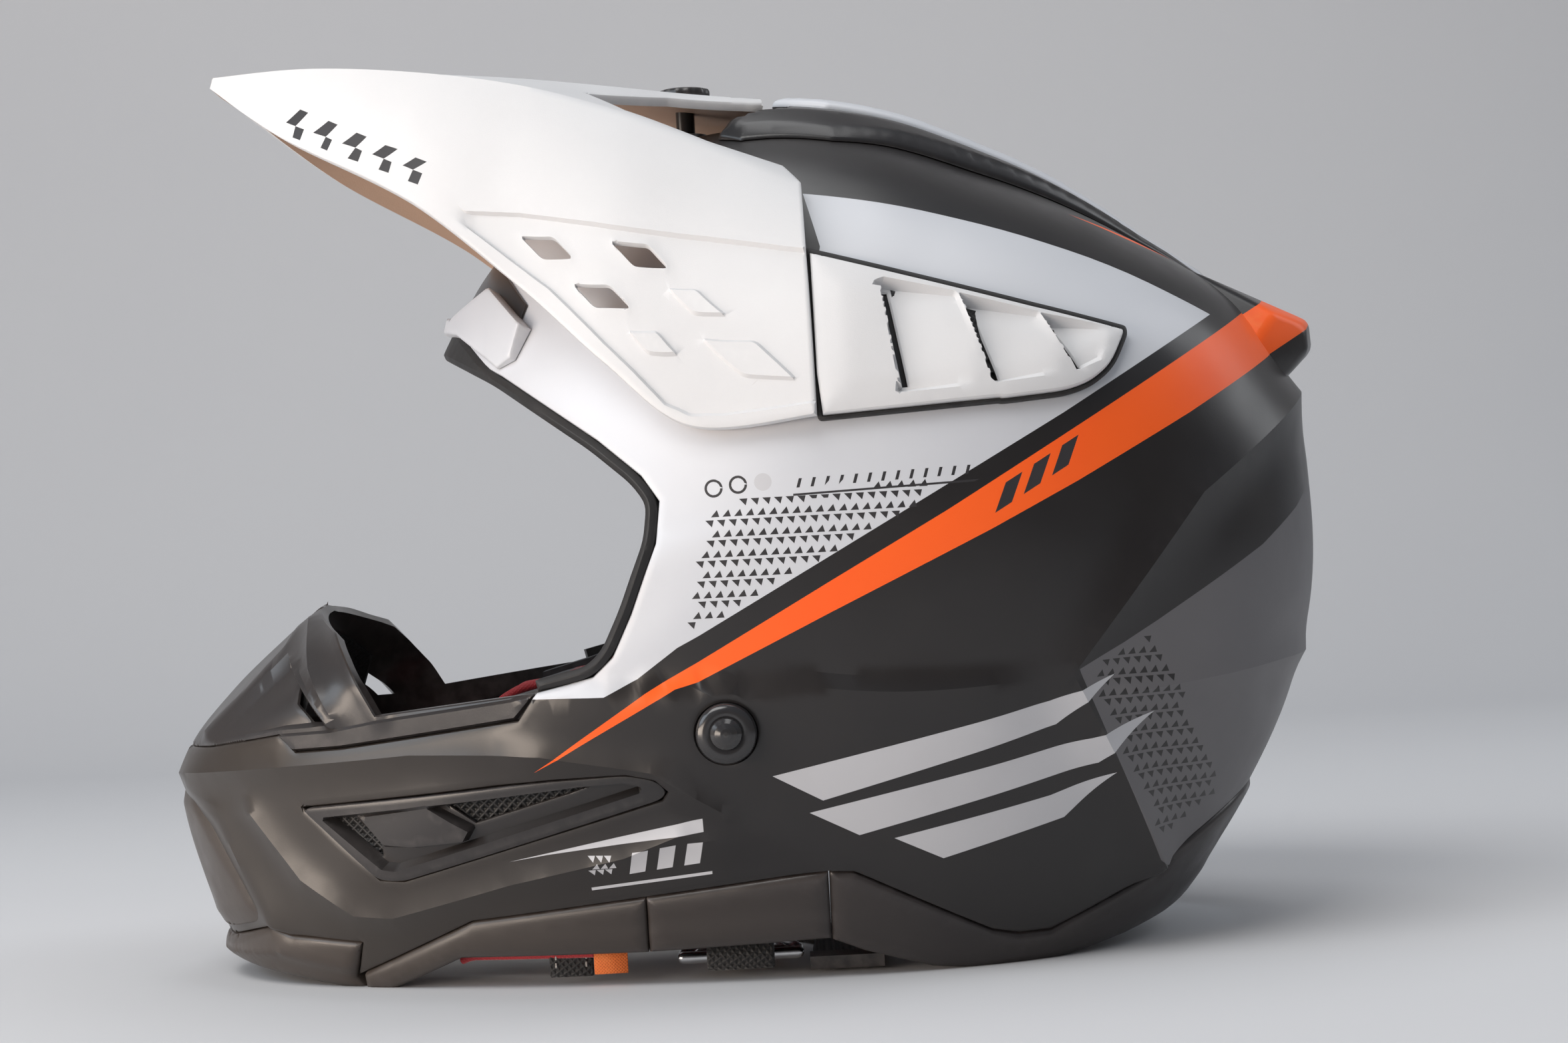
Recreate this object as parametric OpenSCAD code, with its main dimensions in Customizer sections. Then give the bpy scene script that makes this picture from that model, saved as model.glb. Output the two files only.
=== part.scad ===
// Motocross helmet: shell, liners, visor, vents, edge trims and chin strap.
// Front of the helmet points to -X, up is +Z, the rider's left is -Y.
// The helmet stands on Z = 0 on its chin guard and rear edge trim.

/* [Shell] */
// Half of the shell's width at its widest place
shell_half_w = 122; // [116:0.5:126]
// Thickness of the composite shell
shell_t = 3.5; // [2.5:0.1:4]
// Roundness of the cross-section, 2 being an ellipse
roundness = 2.1; // [2:0.05:2.3]

/* [Head space] */
// Half length of the head space
head_rx = 100; // [94:1:104]
// Half width of the head space
head_ry = 77; // [72:1:80]
// Height of the head space above its middle
head_rz = 100; // [94:1:104]
// Thickness of the comfort liner
liner_t = 8; // [5:0.5:10]

/* [Visor] */
// Thickness of the visor
visor_t = 3; // [2.5:0.1:3.2]
// Pivot of the visor, along X
pivot_x = 8; // [6:0.5:9]
// Pivot of the visor, above the rest face
pivot_z = 170; // [169:0.5:172]
// Radius of the visor's pivot pins
pivot_r = 3; // [2.5:0.1:3.2]
// Place of the centre screw, along X
knob_x = -14; // [-16:0.5:-12]

/* [Chin strap] */
// Place of the strap rivets, along X
rivet_x = -8.5; // [-10:0.5:-7]
// Height of the strap rivets
rivet_z = 75; // [73:0.5:77]
// Radius of a rivet's shank
rivet_r = 3; // [2.5:0.1:3.2]
// Width of the webbing
webbing_w = 20; // [18:0.5:20]
// Thickness of the webbing
webbing_t = 1.8; // [1.4:0.1:2]
// Diameter of the ring wire
wire_d = 3.6; // [3:0.1:3.8]

/* [Hidden] */

gap = 0.3;            // room between neighbouring pieces
side_start = 90;      // distance from the middle where a cutter through one side wall starts
fit = 0.05;           // radial room of a pin in its bore
far = 400;            // longer than the helmet, for cutters
fine = 48;            // facets of a true round
foam_d = 4;           // depth of the foam below the shell's outer face
pad_d = 20;           // depth of the cheek pads' outer face
left = -1;
right = 1;

// ---- Shape family of the shell ----
// Side outline of the shell about its middle, from the mouth under the chin,
// round the back and over the crown to the eye port.
middle = [20, 140];
side_outline = [[-136, 118], [-150, 106], [-168, 90], [-183, 72], [-184, 58], [-176, 25],
    [-165, -5], [-125, -30], [-60, -50], [20, -52], [85, -30], [125, 5], [150, 38],
    [168, 72], [177, 105], [178, 135], [174, 166], [160, 193], [122, 220], [80, 241],
    [45, 255], [10, 260], [-20, 256], [-43, 247], [-64, 233], [-80, 216], [-92, 196],
    [-103, 174], [-118, 145]];
outline_n = len(side_outline);
// Outline as [angle, radius], angles rising from below -170 degrees.
polar = [for (q = side_outline)
    let (a = atan2(q[1] - middle[1], q[0] - middle[0])) [a, norm(q - middle)]];

// Knot i of the outline, wrapped round the circle.
function knot(i) =
    let (turn = floor(i / outline_n), p = polar[i - turn * outline_n])
    [p[0] + 360 * turn, p[1]];
function knot_below(a) = max([for (i = [-1:outline_n - 1]) if (knot(i)[0] <= a) i]);
// Radius of the side outline at an angle, a smooth curve through its points.
function outline_r(a) =
    let (i = knot_below(a), p = knot(i - 1), q = knot(i), r = knot(i + 1), t = knot(i + 2),
         h = r[0] - q[0], s = (a - q[0]) / h,
         m = h * (r[1] - p[1]) / (r[0] - p[0]), n = h * (t[1] - q[1]) / (t[0] - q[0]))
    q[1] * (2 * pow(s, 3) - 3 * s * s + 1) + m * (pow(s, 3) - 2 * s * s + s)
    + r[1] * (3 * s * s - 2 * pow(s, 3)) + n * (pow(s, 3) - s * s);

// Angles of the layer's meridians, closer together round the chin.
layer_angles = [for (a = [-175:4:-141]) a, for (a = [-135:7.5:180]) a];
rings = 9;            // steps from a side pole to the middle plane
// A point of the layer at depth d: s runs from -1 (left pole) to 1 (right pole).
function layer_point(a, s, d) =
    let (k = 2 / (roundness + 0.25 * cos(a)), half = shell_half_w - d,
         r = (outline_r(a) - d) * pow(cos(90 * s), k),
         y = half * sign(s) * pow(abs(sin(90 * s)), k))
    [middle[0] + r * cos(a), y, middle[1] + r * sin(a)];

// Closed surface at depth d below the shell's outer face; d < 0 lies outside it.
module layer(d) {
    n = len(layer_angles);
    steps = [for (j = [1 - rings:rings - 1]) j / rings];
    half = shell_half_w - d;
    points = [[middle[0], -half, middle[1]],
        for (s = steps) for (a = layer_angles) layer_point(a, s, d),
        [middle[0], half, middle[1]]];
    last = len(points) - 1;
    bands = len(steps);
    polyhedron(points, [
        for (i = [0:n - 1]) [0, 1 + (i + 1) % n, 1 + i],
        for (j = [0:bands - 2]) for (i = [0:n - 1])
            let (a = 1 + j * n + i, b = 1 + j * n + (i + 1) % n) each
            [[a, b, b + n], [a, b + n, a + n]],
        for (i = [0:n - 1]) let (b = 1 + (bands - 1) * n) [last, b + i, b + (i + 1) % n]]);
}

// Side view outline made into a slab across the helmet; side picks one half of it.
module across(outline, side = 0, grow = 0) {
    start = side == 0 ? -far / 2 : 0;
    mirror([0, side == left ? 1 : 0, 0])
        translate([0, start + far, 0])
            rotate([90, 0, 0])
                linear_extrude(far)
                    offset(delta = grow)
                        polygon(outline);
}

// Plan view outline of the right half, mirrored to both sides and made into a column.
module column(outline, low = -far, high = far) {
    for (m = [0, 1])
        mirror([0, m, 0])
            translate([0, 0, low])
                linear_extrude(high - low)
                    polygon(outline);
}

// Piece of the wall between two depths, inside a side view outline.
module wall(outline, outer, inner, side = 0, grow = 0) {
    intersection() {
        difference() {
            layer(outer);
            layer(inner);
        }
        across(outline, side, grow);
    }
}

// Gives its children back as one mesh.
module joined() {
    resize([0, 0, 0])
        union()
            children();
}

// Round bar along Y from y0 to y1 at a place in the side view.
module bar(x, z, y0, y1, r, n = fine) {
    translate([x, y0, z])
        rotate([-90, 0, 0])
            cylinder(h = y1 - y0, r = r, $fn = n);
}

module both_sides() {
    children();
    mirror([0, 1, 0])
        children();
}

module on_side(side) {
    mirror([0, side == left ? 1 : 0, 0])
        children();
}

// ---- Side view outlines ----
eye_port = [[-220, 215], [-140, 215], [-90, 188], [-70, 180], [-42, 159], [-30, 149],
    [-24.5, 142], [-26, 130], [-34, 110], [-40, 98], [-46, 92.5], [-64, 88.5], [-112, 83.5],
    [-120, 98], [-126, 108], [-137, 115], [-220, 115]];
mouth_seam = [[-200, 72], [-170, 74], [-144, 78], [-138, 73], [-123, 74], [-68, 81],
    [-62, 88.8]];
mouth_cover = concat(mouth_seam, [[-64, 88.5], [-112, 83.5], [-120, 98], [-126, 108],
    [-137, 115], [-150, 122], [-200, 122]]);
// Lower edge of the shell, front to back.
shell_hem = [[-200, 14], [-168, 14], [-152, 19], [-145, 16.5], [-122, 14.5], [-125, 3.5],
    [-87, 21], [-44, 26], [19, 33], [26, 32], [66, 11], [74, 9], [84, 9], [118, 23],
    [122, 28], [146, 42], [200, 70]];
// Lower edge of the guard and the edge trims, which is what the helmet stands on.
helmet_hem = [[-200, 6], [-168, 6], [-125, 0], [-113, 0], [-91, 10], [-36, 10.5],
    [18, 12.5], [28, 8], [48, 1.5], [60, 0], [86, 0], [106, 4], [120, 8], [138, 15],
    [152, 30], [200, 48]];
pod_front = 22.5;
pod = [[pod_front, 211], [pod_front, 163.5], [94, 168], [102, 170], [108, 175], [113, 187]];
chin_vent = [[-137, 56], [-33, 64.5], [-28, 62.5], [-26, 58], [-106, 34.5], [-111, 34]];
scoop_front = [[-127, 53], [-121, 53], [-113, 46.5], [-114, 41]];
scoop_rear = [[-93, 56], [-48.5, 60], [-82, 50.5]];
chin_plate = [[-195, 59], [-175.5, 59.5], [-151.5, 21.2], [-169, 16.5], [-195, 16.5]];
cheek_pad = [[-100, 44], [-104, 62], [-96, 79], [-84, 86], [-62, 92], [-46, 96],
    [-30, 102], [-14, 106], [56, 102], [58, 56], [36, 34], [-60, 28], [-84, 32]];
brow = [[-104, 198], [-90, 190.5], [-74, 186], [-66, 208], [-76, 224], [-104, 224]];

// Straight lines of the lower edge, closed well below the helmet.
function below(line) = concat(line, [[200, -200], [-200, -200]]);

// ---- Shell ----
module shell_openings() {
    across(eye_port);
    across([each mouth_seam, [-62, 130], [-200, 130]]);
    across(below(shell_hem));
    both_sides() {
        across(chin_vent, right, gap);
        bar(pivot_x, pivot_z, side_start, far / 2, pivot_r + gap, 24);
        bar(rivet_x, rivet_z, side_start, far / 2, washer_r + gap, 32);
        across([[48, 196], [50, 174], [90, 177], [92, 184]], right);
    }
    across(chin_plate_slots);
    translate([knob_x, 0, 220])
        cylinder(h = 80, r = insert_r + gap, $fn = 32);
    column([[20, 8], [20, 24], [50, 22], [50, 8]], 200);
}
chin_plate_slots = [[-200, 46], [-160, 46], [-166, 34], [-200, 34]];

module outer_shell() {
    color([0.07, 0.07, 0.075])
        joined()
            difference() {
                layer(0);
                layer(shell_t);
                shell_openings();
            }
}

// Elliptical blob over the middle of the head, with straight sides below it.
module head_form(shrink = 0) {
    n = 40;
    m = 8;
    rx = head_rx - shrink;
    ry = head_ry - shrink;
    rz = head_rz - shrink;
    bottom = [for (i = [0:n - 1]) [rx * cos(360 * i / n), ry * sin(360 * i / n), -far]];
    points = concat(bottom,
        [for (j = [0:m - 1]) for (i = [0:n - 1])
            let (e = 90 * j / m) [rx * cos(360 * i / n) * cos(e), ry * sin(360 * i / n) * cos(e),
                rz * sin(e)]],
        [[0, 0, rz]]);
    top = len(points) - 1;
    translate([head_x, 0, head_z])
        polyhedron(points, [
            [for (i = [0:n - 1]) i],
            for (j = [0:m - 1]) for (i = [0:n - 1])
                let (a = j * n + i, b = j * n + (i + 1) % n) each
                [[a, b + n, b], [a, a + n, b + n]],
            for (i = [0:n - 1]) let (a = m * n) [a + i, top, a + (i + 1) % n]]);
}
head_x = 28;
head_z = 120;

// Snaps of the cheek pads, as [along X, distance from the middle plane, height].
snap_places = [[-58, 87, 76], [44, 96, 80]];
snap_bore = 2.5;
flange_r = 7.5;

// Round bar of a snap, from start to end outwards of the pad's face.
module snap_bar(place, start, end, r, n = fine) {
    bar(place[0], place[2], place[1] + start, place[1] + end, r, n);
}

// Bead foam inside a side view outline, cut back for the head, the pads and the snaps.
module bead_foam(outline, side = 0) {
    joined()
        difference() {
            intersection() {
                layer(foam_d);
                across(outline, side);
            }
            head_form();
            intersection() {
                layer(pad_d - 1);
                across(cheek_pad, grow = 1.5);
            }
            intersection() {
                layer(pad_d - 1);
                translate([-far / 2, -far / 2, -far])
                    cube([far / 2 + 60, far, far + 100]);
            }
            both_sides() {
                for (p = snap_places)
                    snap_bar(p, -12, 0, flange_r + 1, 24);
                for (p = snap_places)
                    snap_bar(p, -1, 7, socket_r + gap, 24);
                bar(pivot_x, pivot_z, 100, far, 9, 24);
            }
            translate([knob_x, 0, 232])
                cylinder(h = 60, r = insert_r + 1, $fn = 24);
        }
}

module eps_liner() {
    color([0.16, 0.16, 0.17])
        bead_foam([[-95, 270], [-86, 197], [-68, 186], [-40, 166], [-22, 150], [-18, 142],
            [-22, 116], [-34, 98], [-38, 96], [28, 96], [28, 46], [66, 52], [100, 52],
            [140, 56], [200, 84], [200, 270]]);
}

// Foam block behind each front snap, at the root of the chin bar.
module snap_foam_on(side) {
    color([0.16, 0.16, 0.17])
        bead_foam([[-44, 95], [-60, 90], [-76, 86], [-74, 68], [-44, 68]], side);
}
module snap_foam_left() {
    snap_foam_on(left);
}
module snap_foam_right() {
    snap_foam_on(right);
}
socket_r = 6;
insert_r = 6.5;
washer_r = 8.7;

module chin_foam() {
    color([0.2, 0.2, 0.21])
        joined()
            difference() {
                wall([[-200, 20], [-172, 20], [-118, 20], [-100, 26], [-100, 31], [-126, 40],
                    [-142, 60], [-150, 66], [-200, 66]], 6, 20);
                across(chin_plate_slots, grow = 1);
            }
}

module comfort_liner() {
    outline = [[-80, 260], [-66, 182], [-40, 163], [-20, 148], [-10, 114], [160, 114],
        [160, 260]];
    color([0.12, 0.12, 0.13])
        joined()
            intersection() {
                difference() {
                    head_form(0.5);
                    head_form(liner_t);
                }
                across(outline);
            }
}

module neck_roll() {
    color([0.1, 0.1, 0.1])
        joined()
            difference() {
                intersection() {
                    layer(7);
                    across([[62, 36], [120, 40], [146, 52], [138, 55], [100, 51],
                        [62, 51]]);
                }
                head_form(4);
            }
}

// ---- Cheek pads and their snaps ----
module cheek_pad_on(side) {
    color([0.1, 0.1, 0.11])
        joined()
            on_side(side)
                difference() {
                    intersection() {
                        layer(pad_d);
                        across(cheek_pad, right);
                        translate([-far / 2, pad_inner_y, 0])
                            cube([far, far, far]);
                    }
                    for (p = snap_places)
                        snap_bar(p, -2, far, flange_r + 0.5, 24);
                }
}
pad_inner_y = 58;
module cheek_pad_left() {
    cheek_pad_on(left);
}
module cheek_pad_right() {
    cheek_pad_on(right);
}

// Snap studs: a flange on the pad and a stud that presses into its socket.
module pad_studs_on(side) {
    color([0.75, 0.1, 0.1])
        on_side(side)
            for (p = snap_places) {
                snap_bar(p, -2, -0.6, flange_r);
                snap_bar(p, -0.6, 4.5, snap_bore);
            }
}
module pad_studs_left() {
    pad_studs_on(left);
}
module pad_studs_right() {
    pad_studs_on(right);
}

module snap_sockets() {
    color([0.3, 0.3, 0.3])
        both_sides()
            for (p = snap_places)
                difference() {
                    snap_bar(p, 0, 6.5, socket_r);
                    snap_bar(p, -1, 5.5, snap_bore + fit);
                }
}

// ---- Visor ----
// Crease between the visor's top and its side, from the tip back.
visor_crease = [[-160, 32, 281.5], [-128, 54, 279.5], [-95, 64, 275.5], [-62, 70, 269],
    [-32, 75, 259], [-8, 81, 248], [21.4, 88, 233.5]];
// Lower edge of the visor's side, from the tip back.
visor_edge = [[-161, 32, 278.5], [-135, 62, 258], [-94, 86, 234], [-62, 100, 206],
    [-38, 112.5, 182], [-14, 121, 162.5], [21.4, 127, 163.8]];
// Edge of the flat centre panel, from the tip back.
visor_shoulder = [[-162, 20, 282.5], [-130, 36, 281], [-98, 44, 278], [-66, 44, 275],
    [-38, 38, 272], [-12, 31, 269], [11, 26, 266.8]];
visor_middle = [[-163, 0, 283], [-131, 0, 281.6], [-99, 0, 278.8], [-67, 0, 276],
    [-39, 0, 273], [-13, 0, 270], [11, 0, 267.7]];
visor_bulge = [0, 1, 2, 4, 7, 8, 8];
visor_steps = 18;
side_steps = 4;

// Smooth curve through a list of points; u runs from 0 to the last index.
function along(list, u) =
    let (n = len(list) - 1, i = min(floor(u), n - 1), s = u - i,
         a = list[max(0, i - 1)], b = list[i], c = list[i + 1], d = list[min(n, i + 2)])
    0.5 * ((2 * b) + (c - a) * s + (2 * a - 5 * b + 4 * c - d) * s * s
        + (3 * b - a - 3 * c + d) * pow(s, 3));

// Outer face of the visor's right half, from the middle line to the lower edge.
function visor_row(u) =
    let (m = along(visor_middle, u), h = along(visor_shoulder, u), c = along(visor_crease, u),
         e = along(visor_edge, u), b = along(visor_bulge, u))
    [m, h, for (j = [0:side_steps])
        let (v = j / side_steps) c + (e - c) * v + b * 4 * v * (1 - v) * [0, 0.85, 0.5]];
// Step from the outer to the inner face, turning from down to inwards.
function visor_inset(j) =
    let (turn = max(0, min(1, (j - 1) / 2))) -visor_t * [0, sin(80 * turn), cos(80 * turn)];

module visor_slab() {
    half = 2 + side_steps;
    across_n = 2 * half + 1;
    flip = function (p) [p[0], -p[1], p[2]];
    row = function (u, depth) let (r = visor_row(u),
        q = [for (j = [0:half]) r[j] + depth * visor_inset(j)])
        [for (j = [half:-1:1]) flip(q[j]), for (j = [0:half]) q[j]];
    last = len(visor_middle) - 1;
    outer = [for (i = [0:visor_steps]) each row(last * i / visor_steps, 0)];
    inner = [for (i = [0:visor_steps]) each row(last * i / visor_steps, 1)];
    n = across_n;
    k = len(outer);
    polyhedron(concat(outer, inner), [
        for (i = [0:visor_steps - 1]) for (j = [0:n - 2]) let (a = i * n + j) each
            [[a, a + 1, a + n + 1], [a, a + n + 1, a + n],
             [k + a, k + a + n + 1, k + a + 1], [k + a, k + a + n, k + a + n + 1]],
        for (j = [0:n - 2]) let (b = visor_steps * n + j) each
            [[j, k + j + 1, j + 1], [j, k + j, k + j + 1],
             [b, b + 1, k + b + 1], [b, k + b + 1, k + b]],
        for (i = [0:visor_steps - 1]) let (a = i * n, e = i * n + n - 1) each
            [[a, a + n, k + a + n], [a, k + a + n, k + a],
             [e, k + e + n, e + n], [e, k + e, k + e + n]]]);
}

// Parallelogram openings in the visor's side, seen from the side.
visor_diamonds = [[[-61.5, 221.5], [-52, 220.5], [-46.5, 214], [-55.5, 214.5]],
    [[-35, 218], [-24, 216.5], [-18.5, 209.5], [-28.5, 210.5]],
    [[-46.5, 206], [-36, 205], [-30, 198], [-40.5, 199]]];

module visor() {
    slot_r = 3.6;
    slot_run = 15;
    opening = [[-44, 54], [-16, 38], [14, 30], [40, 30], [40, 82], [12, 79], [-18, 71]];
    color([0.93, 0.93, 0.92])
        joined()
            difference() {
                visor_slab();
                column(opening, 225);
                for (d = visor_diamonds)
                    across(d);
                hull()
                    for (x = [knob_x, knob_x + slot_run])
                        translate([x, 0, 200])
                            cylinder(h = 100, r = slot_r, $fn = 32);
                both_sides()
                    bar(pivot_x, pivot_z, side_start, pin_end + 0.3, socket_outer + 0.2, 32);
            }
}

socket_outer = 5.2;
socket_root = 118.9;
pin_root = 111.5;
pin_end = 120.9;
module visor_sockets() {
    color([0.85, 0.85, 0.84])
        both_sides()
            difference() {
                bar(pivot_x, pivot_z, socket_root, pin_end + 0.1, socket_outer);
                bar(pivot_x, pivot_z, socket_root - 1, 125, pivot_r + fit);
            }
}

module visor_pivots() {
    color([0.6, 0.6, 0.62])
        both_sides() {
            bar(pivot_x, pivot_z, pin_root - 1.7, pin_root, 7);
            bar(pivot_x, pivot_z, pin_root, pin_end, pivot_r);
        }
}

// Centre screw: where its shank and its head start, and the insert that it goes into.
screw_z = 245;
screw_r = 3;
cap_z = 271.5;
cap_h = 3.2;
cap_r = 8.5;
insert_z = 243;
insert_h = 16.8;

module visor_knob() {
    color([0.2, 0.2, 0.2])
        translate([knob_x, 0, 0]) {
            translate([0, 0, screw_z])
                cylinder(h = cap_z - screw_z, r = screw_r, $fn = fine);
            translate([0, 0, cap_z])
                cylinder(h = cap_h, r = cap_r, $fn = fine);
        }
}

module knob_insert() {
    color([0.5, 0.5, 0.52])
        translate([knob_x, 0, 0])
            difference() {
                translate([0, 0, insert_z])
                    cylinder(h = insert_h, r = insert_r, $fn = fine);
                translate([0, 0, screw_z - 0.5])
                    cylinder(h = 20, r = screw_r + fit, $fn = fine);
            }
}

// ---- Side pods ----
module side_pod_on(side) {
    louvres = [[[42, 200], [46, 169.5], [47.5, 169.5], [44.5, 199.5]],
        [[64, 192.5], [71.5, 171.5], [73, 171.5], [66.5, 192]],
        [[86, 185.5], [94, 175.5], [95.5, 175.5], [88, 185.5]]];
    color([0.93, 0.93, 0.92])
        joined()
            on_side(side)
                difference() {
                    wall(pod, -6, -0.4, right);
                    wall(pod, -3.4, 3, right, -3);
                    for (slot = louvres)
                        across(slot, right);
                }
}
module side_pod_left() {
    side_pod_on(left);
}
module side_pod_right() {
    side_pod_on(right);
}

// Thin rubber seal round the pod.
module pod_seal_on(side) {
    color([0.03, 0.03, 0.03])
        joined()
            on_side(side)
                difference() {
                    wall([[23, 213], [113, 188.5], [116, 187], [109.5, 173.5], [103, 168.5],
                        [94, 166], [23, 161.2]], -1.6, -0.4, right);
                    across(pod, right, gap);
                }
}
module pod_seal_left() {
    pod_seal_on(left);
}
module pod_seal_right() {
    pod_seal_on(right);
}

// Air mesh over the shell's side opening, under the pod.
module pod_mesh_on(side) {
    color([0.1, 0.1, 0.1])
        joined()
            on_side(side)
                wall([[45, 199], [48, 172], [94, 175], [96, 184]], -1.4, -0.4, right);
}
module pod_mesh_left() {
    pod_mesh_on(left);
}
module pod_mesh_right() {
    pod_mesh_on(right);
}

// ---- Crown, brow and back ----
module crown_vent() {
    color([0.05, 0.05, 0.055])
        joined()
            difference() {
                intersection() {
                    difference() {
                        layer(-6.8);
                        layer(-0.4);
                    }
                    column([[14, 0], [14, 30], [0, 36], [0, 45], [30, 47], [112, 22], [112, 0]],
                        190);
                }
                column([[-5, 34], [-5, 42], [16, 40], [16, 33]], 246, 257);
                column([[10, 10], [10, 22], [40, 22], [40, 10]], 200, 262);
            }
}

module crown_spine() {
    color([0.9, 0.9, 0.9])
        joined()
            intersection() {
                difference() {
                    layer(-9);
                    layer(-7.1);
                }
                column([[16, 0], [16, 15], [34, 21], [112, 9], [112, 0]], 200);
            }
}

module brow_vent() {
    slot = [[-92, 203], [-84, 200], [-74, 215], [-84, 219]];
    color([0.85, 0.85, 0.86])
        joined()
            difference() {
                intersection() {
                    difference() {
                        layer(-4);
                        layer(-0.4);
                    }
                    across(brow);
                    column([[-120, 0], [-120, 56], [-60, 48], [-60, 0]]);
                }
                for (side = [right, left])
                    across(slot, side);
            }
}

// Corners of the right half of the spoiler: its front tip, its lip and its underside.
spoiler_corners = [[116, 6, 221], [146, 30, 204], [166, 40, 189], [176, 33, 184.5],
    [177, 32, 178.5], [181.8, 6, 187], [182.6, 6, 180], [168, 38, 169.6], [154, 50, 175]];

module rear_spoiler() {
    corner_r = 1.5;
    color([0.05, 0.05, 0.055])
        joined()
            difference() {
                hull()
                    both_sides()
                        for (p = spoiler_corners)
                            translate(p)
                                sphere(r = corner_r, $fn = 8);
                layer(-0.4);
                for (s = [-1, 1])
                    translate([150, s * 20 - 10, 160])
                        cube([60, 20, 16]);
            }
}

// ---- Chin bar ----
module mouth_vent() {
    slot = [[-152, 97], [-147, 99], [-134, 83], [-140, 81]];
    color([0.12, 0.12, 0.13])
        joined()
            difference() {
                wall(mouth_cover, 0, shell_t, 0, -0.2);
                across([[-96, 84], [-150, 86], [-150, 60], [-96, 60]], 0, -40);
                across(slot);
            }
}

module mouth_filter() {
    color([0.05, 0.05, 0.05])
        joined()
            wall([[-190, 84], [-152, 84], [-136, 84], [-132, 96], [-139, 106], [-190, 106]], 6,
                10);
}

module chin_plate() {
    color([0.2, 0.2, 0.2])
        joined()
            difference() {
                wall(chin_plate, -2.2, -0.4);
                across([[-200, 45], [-165, 45], [-169, 35], [-200, 35]]);
            }
}

module chin_guard() {
    guard = [[-200, 13.7], [-168, 13.7], [-152, 18.7], [-145, 16.2], [-122.3, 14.2],
        [-125.3, 3.2], [-113, 0], [-125, 0], [-168, 6], [-200, 6]];
    color([0.15, 0.15, 0.155])
        joined()
            wall(guard, -1, 5);
}

module chin_vent_on(side) {
    color([0.12, 0.12, 0.13])
        joined()
            on_side(side)
                difference() {
                    wall(chin_vent, -2, 3.3, right);
                    across(scoop_front, right);
                    across(scoop_rear, right);
                }
}
module chin_vent_left() {
    chin_vent_on(left);
}
module chin_vent_right() {
    chin_vent_on(right);
}

module chin_mesh_on(side) {
    color([0.04, 0.04, 0.04])
        joined()
            on_side(side)
                wall(chin_vent, 3.8, 4.8, right, 1);
}
module chin_mesh_left() {
    chin_mesh_on(left);
}
module chin_mesh_right() {
    chin_mesh_on(right);
}

// ---- Edge trims ----
module eyeport_trim() {
    color([0.03, 0.03, 0.03])
        joined()
            difference() {
                wall(eye_port, -0.8, 3.7, 0, -0.2);
                across(eye_port, grow = -2.4);
                translate([-far - 65, -far / 2, 0])
                    cube([far, far, 150]);
                translate([-far - 66, -far / 2, 0])
                    cube([far, far, 92]);
            }
}

// Trim under the shell's lower edge between two places along X.
module edge_trim(x0, x1, side) {
    color([0.1, 0.1, 0.105])
        joined()
            difference() {
                wall([[x0, -40], [x0, 90], [x1, 90], [x1, -40]], -0.2, 4.4, side);
                across(concat(shell_hem, [[200, 300], [-200, 300]]), grow = gap);
                across(below(helmet_hem));
            }
}
trim_front = -112.7;
trim_joint = -35;
trim_back = 18.5;
module edge_trim_front_left() {
    edge_trim(trim_front, trim_joint, left);
}
module edge_trim_front_right() {
    edge_trim(trim_front, trim_joint, right);
}
module edge_trim_mid_left() {
    edge_trim(trim_joint + gap, trim_back, left);
}
module edge_trim_mid_right() {
    edge_trim(trim_joint + gap, trim_back, right);
}
module edge_trim_rear() {
    edge_trim(trim_back + gap, 190, 0);
}

// ---- Chin strap ----
washer_in = 107.6;
washer_out = 121.4;
strap_y = 106.4;      // middle of the webbing at the rivet
// Route of the webbing on one side, as [distance from the middle plane, height].
strap_drop = [[strap_y, 87], [strap_y, 68], [96.5, 44], [86, 20], [80, 10]];
tail_x = 23;          // free end of the long half
bar_a = 79;           // bars of the outer and the inner ring, from the middle plane
bar_b = 74;
ring_z = 6.5;
outer_bow = 17;       // radius of the outer ring's bow, and its legs
outer_leg = 6;
inner_bow = 12.5;

module strap_rivets() {
    color([0.12, 0.12, 0.12])
        both_sides()
            translate([rivet_x, 0, rivet_z])
                rotate([-90, 0, 0])
                    rotate_extrude($fn = fine)
                        polygon([[0, 103.6], [6, 103.6], [6, 105.2], [rivet_r, 105.2],
                            [rivet_r, washer_out], [4.7, washer_out], [4.4, 123.2],
                            [3.2, 124.4], [1.6, 125], [0, 125.2]]);
}

module rivet_washers() {
    color([0.06, 0.06, 0.06])
        both_sides()
            difference() {
                bar(rivet_x, rivet_z, washer_in, washer_out, washer_r);
                bar(rivet_x, rivet_z, washer_in - 1, washer_out + 1, rivet_r + fit);
            }
}

// Flat band of a route in the YZ plane, width across X about x.
module webbing(route, x, width, thick) {
    n = len(route);
    normal = [for (i = [0:n - 1])
        let (t = route[min(n - 1, i + 1)] - route[max(0, i - 1)], u = t / norm(t)) [-u[1], u[0]]];
    translate([x - width / 2, 0, 0])
        rotate([90, 0, 90])
            linear_extrude(width)
                polygon(concat([for (i = [0:n - 1]) route[i] + normal[i] * thick / 2],
                    [for (i = [n - 1:-1:0]) route[i] - normal[i] * thick / 2]));
}

module rivet_hole(side) {
    mirror([0, side == left ? 1 : 0, 0])
        bar(rivet_x, rivet_z, side_start, 118, rivet_r + fit);
}

function on_left(route) = [for (p = route) [-p[0], p[1]]];

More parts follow.
